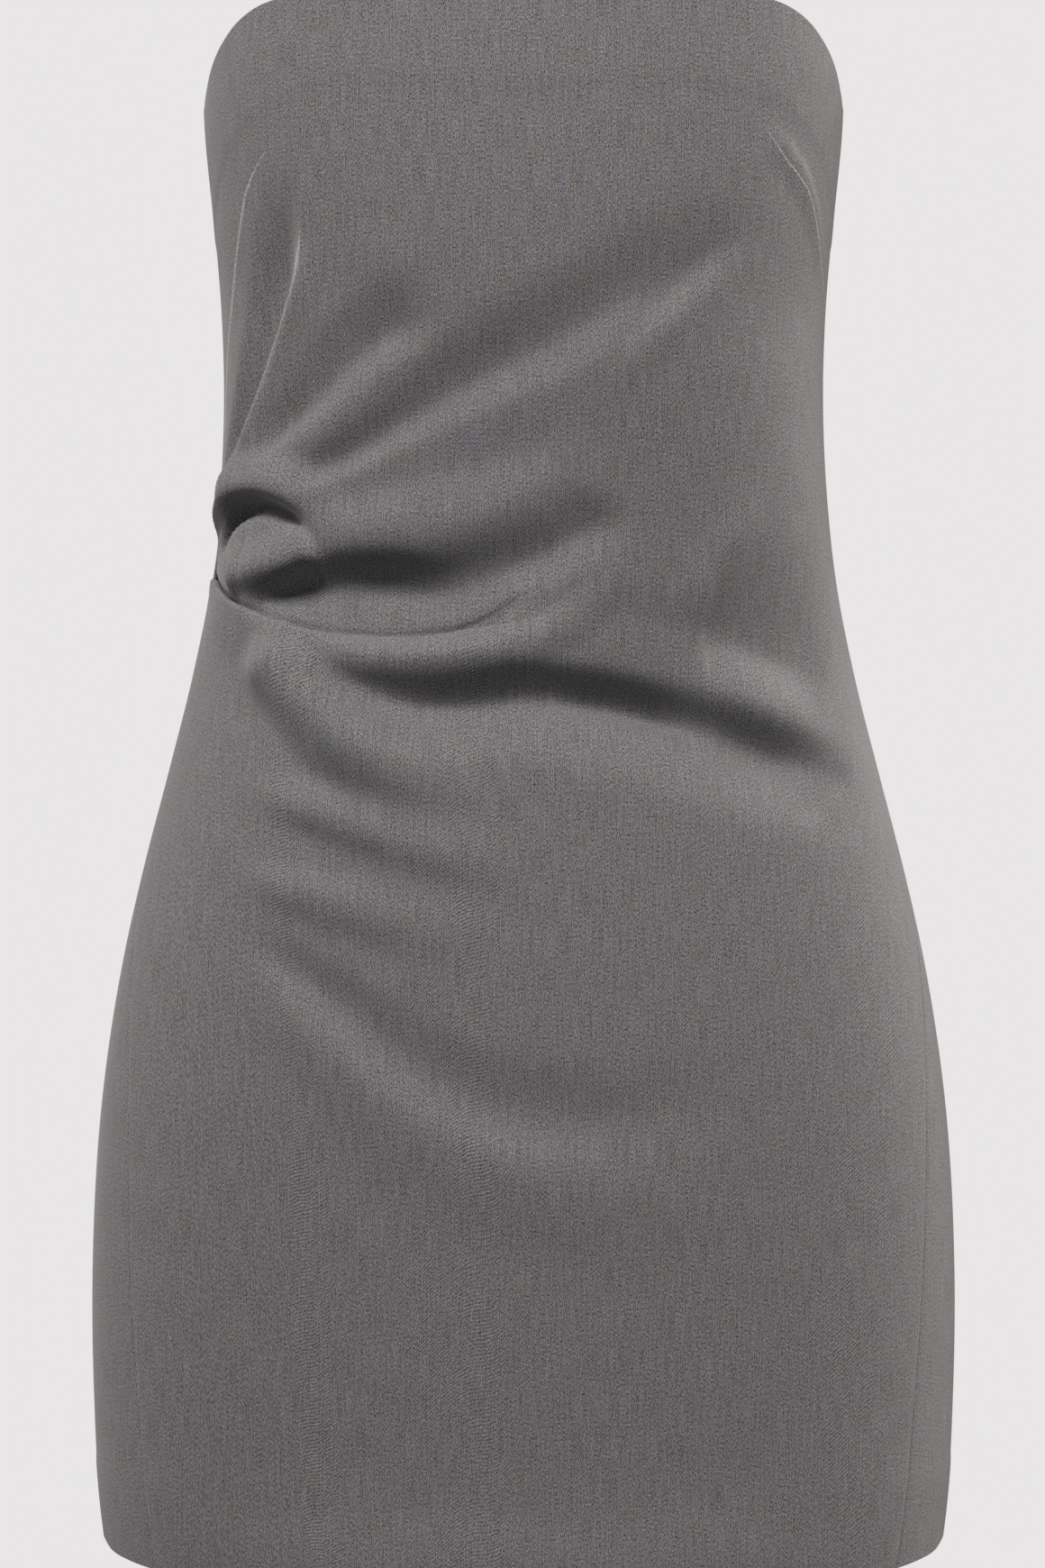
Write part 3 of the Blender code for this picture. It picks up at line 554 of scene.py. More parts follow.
def tuck_rows():
    """The tuck's section, from the bodice's cloth to the skirt's: the share of the hidden depth, the
    way down from the edge and the way out from the form's plain cloth."""
    bend = LAYER_STEP / 2
    turns = [math.radians(turn) for turn in range(-90, 91, 30)]
    rows = [(0, -EDGE_REACH, -0.3), (0, -4.4, -0.4), (0, -3.3, -0.8), (0, -2.3, -1.5),
            (0, -1.2, -LAYER_STEP), (0.5, 0, -LAYER_STEP)]
    rows += [(1, bend * math.cos(turn), -bend + bend * math.sin(turn)) for turn in turns]
    rows.append((0.5, 0, 0))
    rows += [(0, -bend * math.cos(turn), bend + bend * math.sin(turn)) for turn in turns]
    rows += [(0, 2.0, LAYER_STEP), (0, 4.0, LAYER_STEP * 0.95), (0, EDGE_REACH, LAYER_STEP * 0.8)]
    return np.array(rows)


def front_sheet():
    """Centre points of the front's cloth, row by row from the neckline to the hem, and the arc of
    each from the front's middle."""
    even = np.linspace(0, 1, FRONT_COLUMNS)
    place = even - 2 * FRONT_COLUMN_SKEW * even * (1 - even)
    seen = np.array([row[:2] for row in TUCK], float)
    on_form = FRONT.as_seen(seen[:, 0], seen[:, 1])
    shares = FRONT.share_of(on_form)

    def seams(height, arc):
        side = np.where(arc < 0, seam_share("right", height), seam_share("left", height))
        return side * FRONT.girth(height) - SEAM_GAP / 2

    level = smooth_through(np.linspace(-1, 1, 41), shares, on_form[:, 2]).mean()
    guess = panel_columns(place, [[-FRONT.girth(level)]], [[FRONT.girth(level)]])[0]
    share = guess / FRONT.girth(level)
    edge = smooth_through(share, shares, on_form[:, 2])
    depth = np.interp(share, shares, column(TUCK, TUCK_COLUMNS, "depth"))
    presence = ease(np.interp(share, shares, column(TUCK, TUCK_COLUMNS, "presence")))
    section = tuck_rows()
    open_down = np.linspace(-OPEN_REACH, OPEN_REACH, len(section))[:, None]
    folded_down = section[:, :1] * depth + section[:, 1:2]
    down = open_down * (1 - presence) + folded_down * presence
    folded = ease(presence / 0.5)
    out = section[:, 2:3] * folded

    top = top_height(share * FRONT.girth(0))
    hem = hem_height(share * seams(HEM_LEVEL, guess))
    start, end = edge - down[0], edge - down[-1]
    first, last = edge_rows(top, hem)
    above = inner_rows(ROWS_ABOVE_TUCK, 1) ** ROWS_CROWD_ABOVE
    below = inner_rows(ROWS_BELOW_TUCK, 1) ** ROWS_CROWD_BELOW
    height = np.concatenate(
        [first, first[-1] + (start - first[-1]) * above, edge - down,
         end + (last[0] - end) * below, last]
    )
    near_above = np.exp(-(((height[:ROWS_ABOVE_TUCK] - start) / TUCK_FADE_ABOVE) ** 2))
    near_below = np.exp(-(((height[-ROWS_BELOW_TUCK:] - end) / TUCK_FADE_BELOW) ** 2))
    lift = np.concatenate([out[0] * near_above, out, out[-1] * near_below])
    sinks = LAYER_STEP * folded * np.concatenate([near_above, np.ones(down.shape), near_below])

    middle = height[:, [len(guess) // 2]]
    arc = panel_columns(
        place, -seams(middle, np.full(middle.shape, -1.0)), seams(middle, np.full(middle.shape, 1.0))
    )
    for _ in range(2):
        half = seams(height, arc)
        near_edge = np.abs(share) * FRONT.girth(level)
        inner = FRONT.girth(level) - SEAM_BAND
        arc = np.sign(share) * np.where(
            near_edge > inner,
            half - (FRONT.girth(level) - near_edge),
            near_edge / inner * (half - SEAM_BAND),
        )
    plain, normal = round_form(arc, height)
    from_seam = half - np.abs(arc)
    lift = lift - sinks * (1 - ease(from_seam / CREST_HOLD))
    lift = lift + held_folds(fold_height(FRONT, FRONT_FOLDS, plain), from_seam)
    lift = lift + seam_dip(arc, -half, half)
    lift = lift + pressed_out(arc, height)
    return plain + normal * lift[..., None], plain, arc


def feed(tree, sockets, values):
    """Gives sockets, by name or number, another node's output or a plain value each."""
    for name, value in values.items():
        if isinstance(value, bpy.types.NodeSocket):
            tree.links.new(value, sockets[name])
        else:
            sockets[name].default_value = value


def add_node(tree, kind, inputs, **settings):
    """A node with its settings and its inputs fed, and its outputs."""
    node = tree.nodes.new(kind)
    for name, value in settings.items():
        setattr(node, name, value)
    feed(tree, node.inputs, inputs)
    return node.outputs


def calc(tree, operation, *values):
    """The result of a math node on sockets or numbers."""
    return add_node(tree, "ShaderNodeMath", dict(enumerate(values)), operation=operation)[0]


def noise(tree, vector, scale, stretch, detail=2.0):
    """Noise of about one patch a millimetre at scale 1, with its patches stretched across and down."""
    scales = (scale / MM / stretch[0], scale / MM / stretch[1], 1)
    mapped = add_node(tree, "ShaderNodeMapping", {"Vector": vector, "Scale": scales})[0]
    inputs = {"Vector": mapped, "Scale": 1, "Detail": detail}
    return add_node(tree, "ShaderNodeTexNoise", inputs, noise_dimensions="2D")["Fac"]


def mix_colour(tree, mask, low, high, blend="MIX"):
    """A colour from low to high by a mask; each may be a colour or a socket."""
    # Inputs 6 and 7 and output 2 are the ones for colours
    inputs = {0: mask, 6: low, 7: high}
    return add_node(tree, "ShaderNodeMix", inputs, data_type="RGBA", blend_type=blend)[2]


def new_group(kind, name, inputs, outputs):
    """A node group with these sockets, by name and kind, and what it is given inside."""
    tree = bpy.data.node_groups.new(name, kind)
    for in_out, sockets in (("INPUT", inputs), ("OUTPUT", outputs)):
        for label, socket in sockets.items():
            tree.interface.new_socket(label, in_out=in_out, socket_type="NodeSocket" + socket)
    return tree, tree.nodes.new("NodeGroupInput").outputs


# Pitches are in metres, and the contrasts say how much of each noise goes into the colour
SUITING_WEAVE = {
    "Colour": (0.150, 0.1455, 0.1465, 1),
    "Line pitch across": 0.00105,
    "Line pitch down": 0.0016,
    "Line contrast": 0.3,
    "Fibre contrast": 3.0,
    "Streak contrast": 0.8,
}
# Noises of the weave: patches a millimetre, their stretch across and down, and their detail
WOBBLE = (0.12, (1, 1))
WOBBLE_REACH = 0.9  # how many lines a weave line may stray
PATCHES = (0.06, (1, 2.2))
PATCH_SPREAD = (2.4, -0.5)  # the noise is multiplied by the first and moved by the second
PATCHES_LEAST = 0.15  # how much of the lines is left in the faintest patches
FIBRES = (1.0, (0.42, 1.0), 1.0)
WARP_STREAKS = (1.0, (0.8, 18))
WEFT_STREAKS = (1.0, (14, 0.9))
WEFT_SHARE = 0.3
FLECKS = (0.16, (1, 1.4), 3.0)
FLECK_SPREAD = (2.4, -0.7)
FLECK_COLOURS = ((1.02, 1.0, 1.07, 1), (0.99, 1.0, 0.93, 1))
DARKEST = 0.2


def build_weave_group():
    """Woven cloth from its flat coordinates: slanted weave lines, warp streaks and mixed fibres."""
    inputs = {"Cloth": "Vector", **dict.fromkeys(SUITING_WEAVE, "Float"), "Colour": "Color"}
    outputs = {"Colour": "Color", "Height": "Float"}
    tree, given = new_group("ShaderNodeTree", "woven cloth", inputs, outputs)
    split = add_node(tree, "ShaderNodeSeparateXYZ", {0: given["Cloth"]})

    across = calc(tree, "DIVIDE", split[0], given["Line pitch across"])
    down = calc(tree, "DIVIDE", split[1], given["Line pitch down"])
    wobble = calc(tree, "MULTIPLY", noise(tree, given["Cloth"], *WOBBLE), WOBBLE_REACH)
    phase = calc(tree, "ADD", calc(tree, "SUBTRACT", across, down), wobble)
    wave = calc(tree, "SINE", calc(tree, "MULTIPLY", phase, 2 * math.pi))
    patches = calc(tree, "MULTIPLY_ADD", noise(tree, given["Cloth"], *PATCHES), *PATCH_SPREAD)
    patches = calc(tree, "MAXIMUM", patches, PATCHES_LEAST)
    lines = calc(tree, "MULTIPLY", wave, patches)

    fibres = calc(tree, "SUBTRACT", noise(tree, given["Cloth"], *FIBRES), 0.5)
    streaks = calc(tree, "SUBTRACT", noise(tree, given["Cloth"], *WARP_STREAKS), 0.5)
    weft = calc(tree, "SUBTRACT", noise(tree, given["Cloth"], *WEFT_STREAKS), 0.5)
    streaks = calc(tree, "ADD", streaks, calc(tree, "MULTIPLY", weft, WEFT_SHARE))
    bright = calc(tree, "MULTIPLY", lines, given["Line contrast"])
    for part, contrast in ((fibres, "Fibre contrast"), (streaks, "Streak contrast")):
        bright = calc(tree, "ADD", bright, calc(tree, "MULTIPLY", part, given[contrast]))
    bright = calc(tree, "MAXIMUM", calc(tree, "ADD", bright, 1.0), DARKEST)
    level = add_node(tree, "ShaderNodeCombineColor", dict.fromkeys(range(3), bright))[0]
    mixed = mix_colour(tree, 1.0, given["Colour"], level, "MULTIPLY")
    flecks = calc(tree, "MULTIPLY_ADD", noise(tree, given["Cloth"], *FLECKS), *FLECK_SPREAD)
    flecks = calc(tree, "MINIMUM", calc(tree, "MAXIMUM", flecks, 0.0), 1.0)
    tinted = mix_colour(tree, flecks, *FLECK_COLOURS)
    colour = mix_colour(tree, 1.0, mixed, tinted, "MULTIPLY")
    made = {"Colour": colour, "Height": calc(tree, "MULTIPLY", wave, 0.5)}
    feed(tree, tree.nodes.new("NodeGroupOutput").inputs, made)
    return tree


WEAVE = build_weave_group()
SUITING_FINISH = {
    "Roughness": 0.78,
    "Specular IOR Level": 0.3,
    "Sheen Weight": 0.22,
    "Sheen Roughness": 0.5,
    "Sheen Tint": (0.9, 0.88, 0.86, 1),
}
SUITING_NAP = 0.00012  # height of the weave's lines, in metres
LINE_CORE = 1.5  # over 1, a pressed line has an even middle
# Colour that the pressed lines are multiplied by: a painted highlight along the darts' seams and the
# pleat's edge
LINE_PAINTED_HIGHLIGHT = (2.1, 2.1, 2.08, 1)
LINE_RAISED = 1.5  # how far a pressed line is raised, in heights of the weave's lines


def new_material(name, finish):
    """A material with this finish, its node tree and its shader's inputs."""
    material = bpy.data.materials.new(name)
    material.use_nodes = True
    surface = material.node_tree.nodes["Principled BSDF"].inputs
    feed(material.node_tree, surface, finish)
    return material, material.node_tree, surface


def add_weave(tree, settings):
    """The weave laid out on a piece's flat cut: its colour and its height."""
    flat = add_node(tree, "ShaderNodeUVMap", {}, uv_map="cloth")[0]
    woven = add_node(tree, "ShaderNodeGroup", {"Cloth": flat, **settings}, node_tree=WEAVE)
    return woven["Colour"], woven["Height"]


def relief(tree, height, strength, distance):
    """Fine relief from a height, with the distance in metres that a height of 1 stands for."""
    inputs = {"Height": height, "Strength": strength, "Distance": distance}
    return add_node(tree, "ShaderNodeBump", inputs)[0]


def suiting_material(name, with_lines):
    """Mid-grey twill suiting: matt, with a soft sheen where it turns away, and a painted highlight
    along the pressed lines where it has them."""
    material, tree, surface = new_material(name, SUITING_FINISH)
    colour, height = add_weave(tree, SUITING_WEAVE)
    if with_lines:
        shares = add_node(tree, "ShaderNodeAttribute", {}, attribute_name="from_lines")["Vector"]
        line = 0.0
        for share in add_node(tree, "ShaderNodeSeparateXYZ", {0: shares}):
            one = calc(tree, "SUBTRACT", 1.0, calc(tree, "ABSOLUTE", share))
            line = calc(tree, "MAXIMUM", line, one)
        line = calc(tree, "MINIMUM", calc(tree, "MULTIPLY", line, LINE_CORE), 1.0)
        # Painted highlight: the colour is made lighter along the pressed lines, which are also raised
        # a little
        painted_highlight = mix_colour(tree, line, (1, 1, 1, 1), LINE_PAINTED_HIGHLIGHT)
        colour = mix_colour(tree, 1.0, colour, painted_highlight, "MULTIPLY")
        height = calc(tree, "ADD", height, calc(tree, "MULTIPLY", line, LINE_RAISED))
    feed(tree, surface, {"Base Color": colour, "Normal": relief(tree, height, 0.35, SUITING_NAP)})
    return material


front_points, front_plain, front_arc = front_sheet()
front = cloth_panel(
    "front_cloth",
    front_points,
    front_arc,
    along_cloth(front_points),
    suiting_material("front suiting", True),
    line_distances(front_plain),
)
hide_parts("front")
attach(front, "dress")

# Backs
# Two mirrored halves of the same suiting, sewn to the front at the side seams and to each other down
# the middle, where the concealed zip closes the upper part. They follow the waist and the seat.
BACK_COLUMNS = 96
BACK_ROWS = 200
# Soft folds, as seen from behind, with x measured towards the wearer's left
BACK_FOLDS = (
    ("drag_1", 2.0, 16, 12, 2, 0.6, 0.3, 0.4, ((-128, -196), (-100, -190), (-70, -178), (-44, -160))),
    ("drag_2", 2.4, 18, 14, 2, 0.6, 0.3, 0.4, ((-134, -222), (-104, -226), (-70, -220), (-36, -206))),
    ("drag_3", 1.8, 16, 13, 2, 1, 0.4, 0.3, ((40, -190), (72, -204), (104, -212), (132, -216))),
    ("drape_1", 1.6, 24, 20, 2, 0.6, 0.4, 0.4, ((-120, -300), (-84, -322), (-50, -336), (-20, -340))),
    ("drape_2", 1.6, 26, 20, 2, 1, 0.4, 0.4, ((24, -352), (60, -346), (100, -326), (140, -300))),
)


def back_sheet(side):
    """Centre points of half the back, from the middle seam to the side seam, and their arcs."""
    side_name = "left" if side > 0 else "right"
    hem_middle = FRONT.girth(HEM_LEVEL) + BACK.girth(HEM_LEVEL)
    hem_seam = seam_share(side_name, HEM_LEVEL) * FRONT.girth(HEM_LEVEL)
    share = panel_columns(
        np.linspace(0, 1, BACK_COLUMNS), [[0]], [[BACK.girth(HEM_LEVEL)]]
    )[0] / BACK.girth(HEM_LEVEL)
    top = top_height(FRONT.girth(0) + BACK.girth(0) * (1 - share))
    hem = hem_height(hem_middle + (hem_seam - hem_middle) * share)
    first, last = edge_rows(top, hem)
    between = first[-1] + (last[0] - first[-1]) * inner_rows(BACK_ROWS, 2)
    height = np.concatenate([first, between, last])
    middle = FRONT.girth(height) + BACK.girth(height) - SEAM_GAP / 2
    seam = seam_share(side_name, height) * FRONT.girth(height) + SEAM_GAP / 2
    near = share * BACK.girth(HEM_LEVEL)
    far = BACK.girth(HEM_LEVEL) - near
    inner = (near - SEAM_BAND) / (BACK.girth(HEM_LEVEL) - 2 * SEAM_BAND)
    arc = middle - SEAM_BAND + (seam - middle + 2 * SEAM_BAND) * inner
    arc = np.where(near < SEAM_BAND, middle - near, np.where(far < SEAM_BAND, seam + far, arc))
    plain, normal = round_form(side * arc, height)
    folds = held_folds(fold_height(BACK, BACK_FOLDS, plain), arc - seam)
    lift = folds * ease((middle - arc) / SEAM_HOLD) + seam_dip(arc, seam, middle)
    lift = lift + pressed_out(arc, height)
    return plain + normal * lift[..., None], side * arc


suiting = suiting_material("back suiting", False)
for side, node in ((1, "back_left"), (-1, "back_right")):
    points, arc = back_sheet(side)
    if side > 0:
        points, arc = points[:, ::-1], arc[:, ::-1]
    panel = cloth_panel(node + "_cloth", points, arc, along_cloth(points), suiting)
    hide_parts(node)
    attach(panel, "dress")

# Zip tapes
# A concealed coil zip, 30 cm long and closed: two woven polyester tapes, each machine-sewn to its half
# of the back behind the middle seam, with a nylon coil along their inner edges.
ZIP_TOP = -14
ZIP_LENGTH = 300
TAPE_WIDTH = 11.9
TAPE_THICKNESS = 0.8
TAPE_COLUMNS = 13
TAPE_ROWS = 121
TAPE_WEAVE = {
    "Colour": (0.105, 0.102, 0.103, 1),
    "Line pitch across": 0.0006,
    "Line pitch down": 0.0006,
    "Line contrast": 0.3,
    "Fibre contrast": 0.4,
    "Streak contrast": 0.8,
}
TAPE_RIB = 0.0001  # height of its ribs, in metres
TAPE_FROM_MIDDLE = 0.1
COIL_COLOUR = (0.12, 0.117, 0.118, 1)
THREAD_COLOUR = (0.14, 0.137, 0.138, 1)
# The wire's size is half its thickness
COIL = {"Pitch": 1.5, "Half width": 1.15, "Half depth": 0.65, "Wire": 0.24}
COIL_FROM_MIDDLE = 0.55
COIL_ENDS = (6, 4)  # how far the coil stays from the tape's top and from its end
STITCH = {"Pitch": 2.6, "Half thickness": 0.17, "Half length": 1.0}
STITCH_FROM_MIDDLE = 4.5
STITCH_ENDS = (4, 3)  # how far the stitches stay from the tape's top and from its end
PATH_POINTS = 60


def behind_back(across, height, inwards):
    """Points behind the back's middle, by the distance across from it and in from the outside."""
    share = across / BACK.girth(height)
    return BACK.point(share, height) - BACK.outward(share, height) * inwards


def tape_material():
    """Narrow woven tape: fine slanted ribs."""
    material, tree, surface = new_material("zip tape", {"Roughness": 0.7, "Specular IOR Level": 0.35})
    colour, height = add_weave(tree, TAPE_WEAVE)
    feed(tree, surface, {"Base Color": colour, "Normal": relief(tree, height, 0.4, TAPE_RIB)})
    return material


def thread_material(name, colour, roughness):
    """Smooth twisted thread or coil: a little uneven in colour."""
    material, tree, surface = new_material(name, {"Roughness": roughness})
    place = add_node(tree, "ShaderNodeTexCoord", {})["Object"]
    darker, lighter = ((*(share * c for c in colour[:3]), 1) for share in (0.75, 1.25))
    uneven = mix_colour(tree, noise(tree, place, 0.8, (1, 1)), darker, lighter)
    feed(tree, surface, {"Base Color": uneven})
    return material


def zip_path(across, inwards, ends, shift=0.0):
    """A line down the zip's tapes, which keeps away from their ends, as a curve object."""
    heights = np.linspace(ZIP_TOP - ends[0] - shift, ZIP_TOP - ZIP_LENGTH + ends[1], PATH_POINTS)
    curve = bpy.data.curves.new("zip path", "CURVE")
    curve.dimensions = "3D"
    spline = curve.splines.new("POLY")
    spline.points.add(PATH_POINTS - 1)
    for point, place in zip(spline.points, behind_back(across, heights, inwards) * MM):
        point.co = (*place, 1)
    return place_object("zip path", curve)


def build_repeat_group(name, sizes, make_shape):
    """Geometry nodes that set one shape along a curve every pitch, turned to follow it."""
    inputs = {"Geometry": "Geometry", **dict.fromkeys(sizes, "Float"), "Material": "Material"}
    tree, given = new_group("GeometryNodeTree", name, inputs, {"Geometry": "Geometry"})
    inputs = {"Curve": given["Geometry"], "Length": given["Pitch"]}
    spaced = add_node(tree, "GeometryNodeResampleCurve", inputs, mode="LENGTH")[0]
    tangent = add_node(tree, "GeometryNodeInputTangent", {})[0]
    turn = add_node(tree, "FunctionNodeAlignEulerToVector", {"Vector": tangent}, axis="Z")[0]
    inputs = {"Points": spaced, "Instance": make_shape(tree, given), "Rotation": turn}
    each = add_node(tree, "GeometryNodeInstanceOnPoints", inputs)[0]
    real = add_node(tree, "GeometryNodeRealizeInstances", {0: each})[0]
    smooth = add_node(tree, "GeometryNodeSetShadeSmooth", {"Geometry": real})[0]
    inputs = {"Geometry": smooth, "Material": given["Material"]}
    painted = add_node(tree, "GeometryNodeSetMaterial", inputs)[0]
    feed(tree, tree.nodes.new("NodeGroupOutput").inputs, {"Geometry": painted})
    return tree


def ring_shape(tree, given):
    """One turn of the coil: a thin ring that lies across the path."""
    circle = "GeometryNodeCurvePrimitiveCircle"
    turn = add_node(tree, circle, {"Resolution": 10, "Radius": 1})["Curve"]
    sizes = {0: given["Half width"], 1: given["Half depth"], 2: 1}
    size = add_node(tree, "ShaderNodeCombineXYZ", sizes)[0]
    ring = add_node(tree, "GeometryNodeTransform", {"Geometry": turn, "Scale": size})[0]
    wire = add_node(tree, circle, {"Resolution": 6, "Radius": given["Wire"]})["Curve"]
    return add_node(tree, "GeometryNodeCurveToMesh", {"Curve": ring, "Profile Curve": wire})[0]


def stitch_shape(tree, given):
    """One stitch: a short thick thread that lies along the path."""
    ball = add_node(tree, "GeometryNodeMeshIcoSphere", {"Radius": 1, "Subdivisions": 2})["Mesh"]
    thick = given["Half thickness"]
    sizes = {0: thick, 1: thick, 2: given["Half length"]}
    size = add_node(tree, "ShaderNodeCombineXYZ", sizes)[0]
    return add_node(tree, "GeometryNodeTransform", {"Geometry": ball, "Scale": size})[0]


def repeat_along(name, lines, sizes, make_shape, material):
    """Sets one shape along each line and joins what it makes into one plain mesh piece."""
    group = build_repeat_group(name, sizes, make_shape)
    settings = {label: MM * size for label, size in sizes.items()}
    settings["Material"] = material
    joined = bmesh.new()
    for line in lines:
        maker = line.modifiers.new("repeat", "NODES")
        maker.node_group = group
        for item in group.interface.items_tree:
            if item.in_out == "INPUT" and item.name in settings:
                maker[item.identifier] = settings[item.name]
        graph = bpy.context.evaluated_depsgraph_get()
        made = bpy.data.meshes.new_from_object(line.evaluated_get(graph))
        joined.from_mesh(made)
        bpy.data.meshes.remove(made)
        bpy.data.objects.remove(line)
    mesh = bpy.data.meshes.new(name)
    joined.to_mesh(mesh)
    joined.free()
    mesh.materials.clear()
    mesh.materials.append(material)
    piece = place_object(name, mesh)
    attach(piece, "dress")


tape_height = np.linspace(ZIP_TOP, ZIP_TOP - ZIP_LENGTH, TAPE_ROWS)[:, None]
tape_inwards = WALL + SEAM_DIP + SEAM_GAP + TAPE_THICKNESS / 2
tape_cloth = tape_material()
for side, side_name in ((1, "left"), (-1, "right")):
    tape_across = np.linspace(TAPE_FROM_MIDDLE, TAPE_FROM_MIDDLE + TAPE_WIDTH, TAPE_COLUMNS)
    tape_across = side * tape_across[::side]
    tape_points = behind_back(tape_across, tape_height, tape_inwards)[:, ::-1]
    tape = cloth_panel(
        "zip_tape_" + side_name,
        tape_points,
        np.broadcast_to(tape_across[::-1], tape_points.shape[:2]),
        along_cloth(tape_points),
        tape_cloth,
    )
    tape.modifiers["cloth thickness"].thickness = TAPE_THICKNESS * MM
    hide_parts("zip_tape")
    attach(tape, "dress")

tape_inner_face = tape_inwards + TAPE_THICKNESS / 2
coil_in = tape_inner_face + COIL["Half depth"] + COIL["Wire"]
coil_lines = [
    zip_path(side * COIL_FROM_MIDDLE, coil_in, COIL_ENDS, shift)
    for side, shift in ((1, 0), (-1, COIL["Pitch"] / 2))
]
nylon = thread_material("nylon coil", COIL_COLOUR, 0.35)
repeat_along("zip_coil", coil_lines, COIL, ring_shape, nylon)

stitch_lines = [
    zip_path(side * STITCH_FROM_MIDDLE, tape_inner_face, STITCH_ENDS) for side in (1, -1)
]
sewing_thread = thread_material("sewing thread", THREAD_COLOUR, 0.6)
repeat_along("zip_stitches", stitch_lines, STITCH, stitch_shape, sewing_thread)

# Zip slider and pull tab
# A small painted zinc slider with a wire bail, at the top of the closed zip, and a flat teardrop tab
# that hangs on it. Both keep their solids and wear a satin paint, rubbed a little towards the metal.
PAINT_COLOUR = (0.155, 0.151, 0.152, 1)
RUBBED_COLOUR = (0.30, 0.295, 0.29, 1)
RUBBED_FROM = 0.62  # the noise above this rubs the paint
RUBBED_EDGE = 6.0
RUBBED_MOST = 0.8
SPECK_DEPTH = 0.00005


def paint_material():
    """Satin paint on zinc, with fine specks and a few rubbed spots."""
    finish = {"Coat Weight": 0.3, "Coat Roughness": 0.25}
    material, tree, surface = new_material("painted zinc", finish)
    place = add_node(tree, "ShaderNodeTexCoord", {})["Object"]
    rubbed = calc(tree, "SUBTRACT", noise(tree, place, 0.35, (1, 1), 4.0), RUBBED_FROM)
    rubbed = calc(tree, "MAXIMUM", calc(tree, "MULTIPLY", rubbed, RUBBED_EDGE), 0.0)
    rubbed = calc(tree, "MINIMUM", rubbed, RUBBED_MOST)
    fine = noise(tree, place, 3.0, (1, 1))
    feed(tree, surface, {
        "Base Color": mix_colour(tree, rubbed, PAINT_COLOUR, RUBBED_COLOUR),
        "Metallic": rubbed,
        "Roughness": calc(tree, "MULTIPLY_ADD", fine, 0.25, 0.3),
        "Normal": relief(tree, fine, 0.3, SPECK_DEPTH),
    })
    return material


painted_zinc = paint_material()
for node in ("zip_slider", "zip_pull"):
    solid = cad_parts[node]
    solid.data.materials.clear()
    solid.data.materials.append(painted_zinc)

# Stage
# A plain pale floor that rises all round into a pale backdrop, and soft studio light: a broad light
# from above in front, weak ones from below and in front, and others from the sides and from behind
# that let the dress's edges show lighter.
BACKDROP = (0.807, 0.791, 0.799, 1)
FLOOR_HEIGHT = -2.6
FLOOR_RADIUS = 7.6
BEND_RADIUS = 2.4
WALL_TOP = 7.4
DRESS_MIDDLE = (0, 0, -0.3)


def backdrop():
    """A turned bowl: a flat floor, a round bend and an upright wall."""
    bend = [math.radians(a) for a in range(0, 91, 10)]
    profile = [(0, FLOOR_HEIGHT)]
    profile += [
        (FLOOR_RADIUS + BEND_RADIUS * math.sin(a), FLOOR_HEIGHT + BEND_RADIUS * (1 - math.cos(a)))
        for a in bend
    ]
    profile.append((FLOOR_RADIUS + BEND_RADIUS, WALL_TOP))
    bm = bmesh.new()
    verts = [bm.verts.new((x, 0, z)) for x, z in profile]
    edges = [bm.edges.new(pair) for pair in zip(verts, verts[1:])]
    bmesh.ops.spin(
        bm, geom=verts + edges, axis=(0, 0, 1), angle=2 * math.pi, steps=96, use_merge=True
    )
    bmesh.ops.remove_doubles(bm, verts=bm.verts, dist=0.0001)
    bmesh.ops.recalc_face_normals(bm, faces=bm.faces)
    mesh = bpy.data.meshes.new("backdrop")
    bm.to_mesh(mesh)
    bm.free()
    mesh.shade_smooth()
    stage = place_object("backdrop", mesh)
    finish = {
        "Base Color": (0, 0, 0, 1),
        "Roughness": 1,
        "Specular IOR Level": 0,
        "Emission Color": BACKDROP,
        "Emission Strength": 1,
    }
    mesh.materials.append(new_material("backdrop paper", finish)[0])
    stage.visible_diffuse = False
    stage.visible_glossy = False
    stage.visible_shadow = False


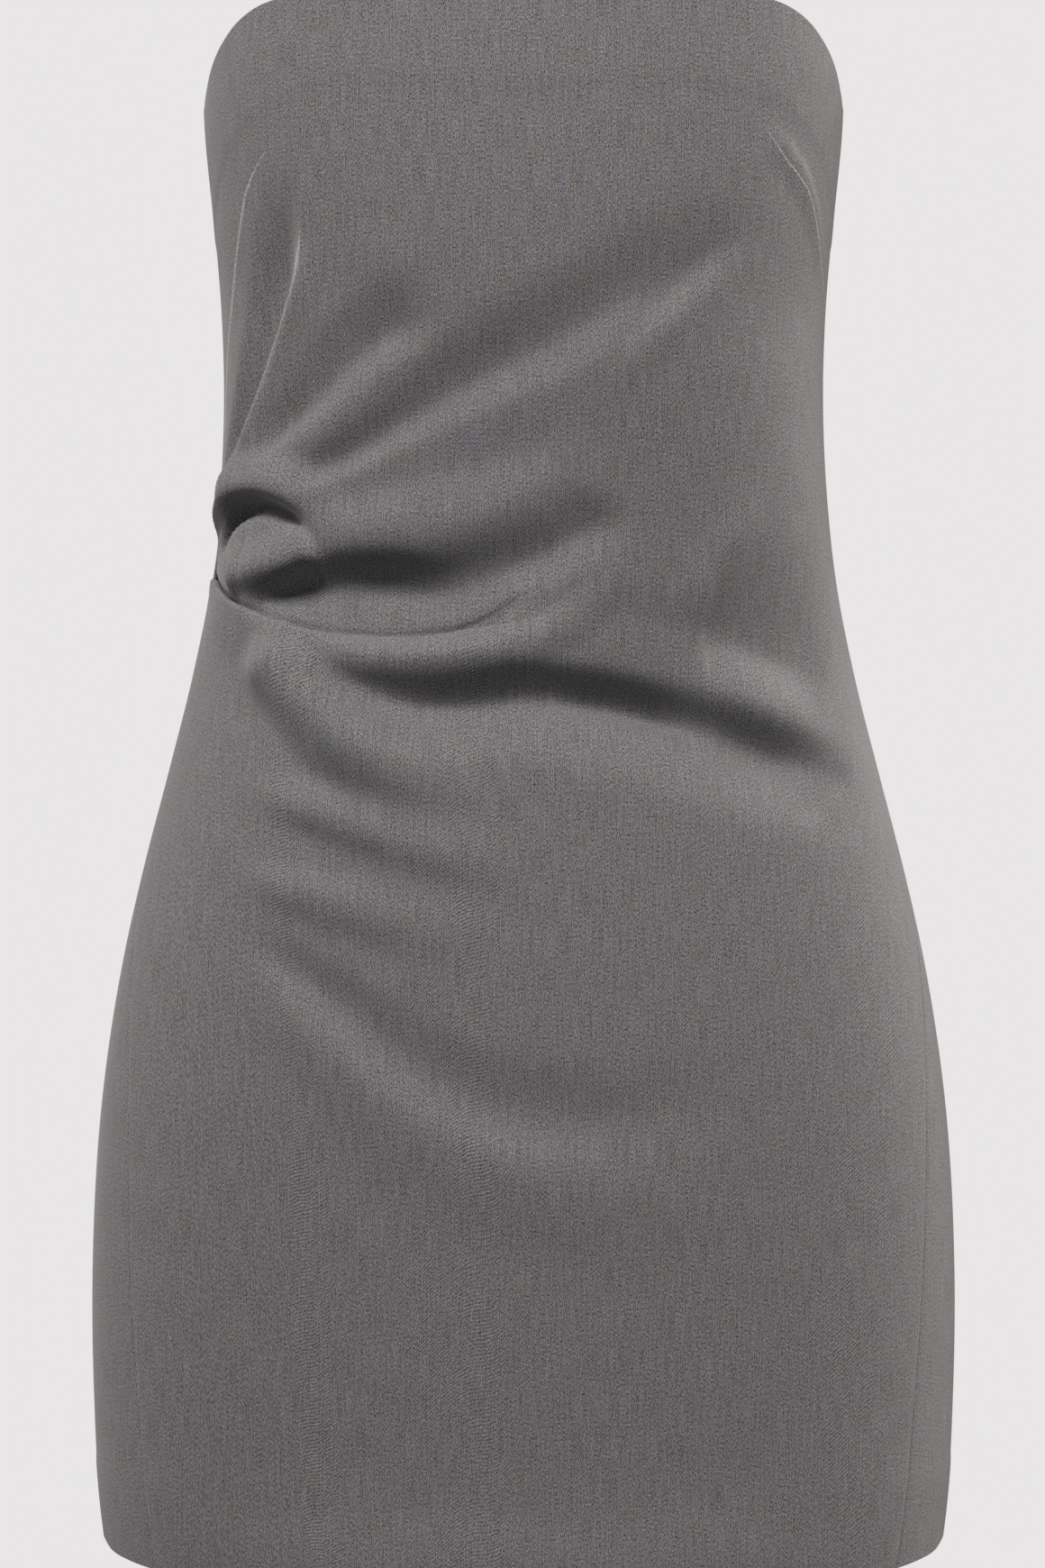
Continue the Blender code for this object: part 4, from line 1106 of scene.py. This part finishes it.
def new_light(name, kind, power, colour, towards):
    """A light that shines from the given direction, and its settings."""
    light = bpy.data.lights.new(name, kind)
    light.energy = power
    light.color = colour
    lamp = place_object(name, light)
    lamp.rotation_euler = Vector(towards).to_track_quat("Z", "Y").to_euler()
    return lamp, light


def near_light(name, place, size, power, colour):
    """A rectangular soft light that faces the dress."""
    lamp, light = new_light(name, "AREA", power, colour, Vector(place) - Vector(DRESS_MIDDLE))
    light.shape = "RECTANGLE"
    light.size, light.size_y = size
    lamp.location = place


def far_light(name, azimuth, elevation, softness, strength, colour):
    """A soft light from far off: its azimuth is counted from straight in front to the right."""
    around, up = math.radians(azimuth), math.radians(elevation)
    towards = (math.sin(around) * math.cos(up), -math.cos(around) * math.cos(up), math.sin(up))
    new_light(name, "SUN", strength, colour, towards)[1].angle = math.radians(softness)


backdrop()
near_light("top front light", (-0.5, -2.37, 2.55), (1.3, 1.1), 153, (1, 0.99, 0.995))
near_light("floor light", (0.1, -1.3, -1.4), (1.8, 0.5), 2.4, (1, 0.99, 1))
far_light("front light", 0, 15, 80, 0.1, (1, 0.99, 1))
far_light("side light", 80, 15, 40, 0.6, (1, 0.985, 0.96))
far_light("back light right", 112, 20, 40, 2.7, (1, 0.98, 0.94))
far_light("back light left", -108, 20, 40, 1.3, (1, 0.985, 0.96))
world = bpy.data.worlds.new("studio")
world.use_nodes = True
sky = world.node_tree.nodes["Background"].inputs
sky["Color"].default_value = BACKDROP
sky["Strength"].default_value = 0.06
bpy.context.scene.world = world
bpy.context.scene.view_settings.view_transform = "Standard"

# Camera: level, at the photograph's distance, with the dress filling the frame's height
FRAME_HEIGHT = 0.696
CAMERA_ACROSS = -0.00045
lens = bpy.data.cameras.new("camera")
lens.sensor_width = 36
lens.lens = lens.sensor_width * VIEW_DISTANCE * MM / FRAME_HEIGHT
camera = place_object("camera", lens)
camera.location = (CAMERA_ACROSS, -VIEW_DISTANCE * MM, VIEW_HEIGHT * MM)
camera.rotation_euler = (math.radians(90), 0, 0)
bpy.context.scene.camera = camera
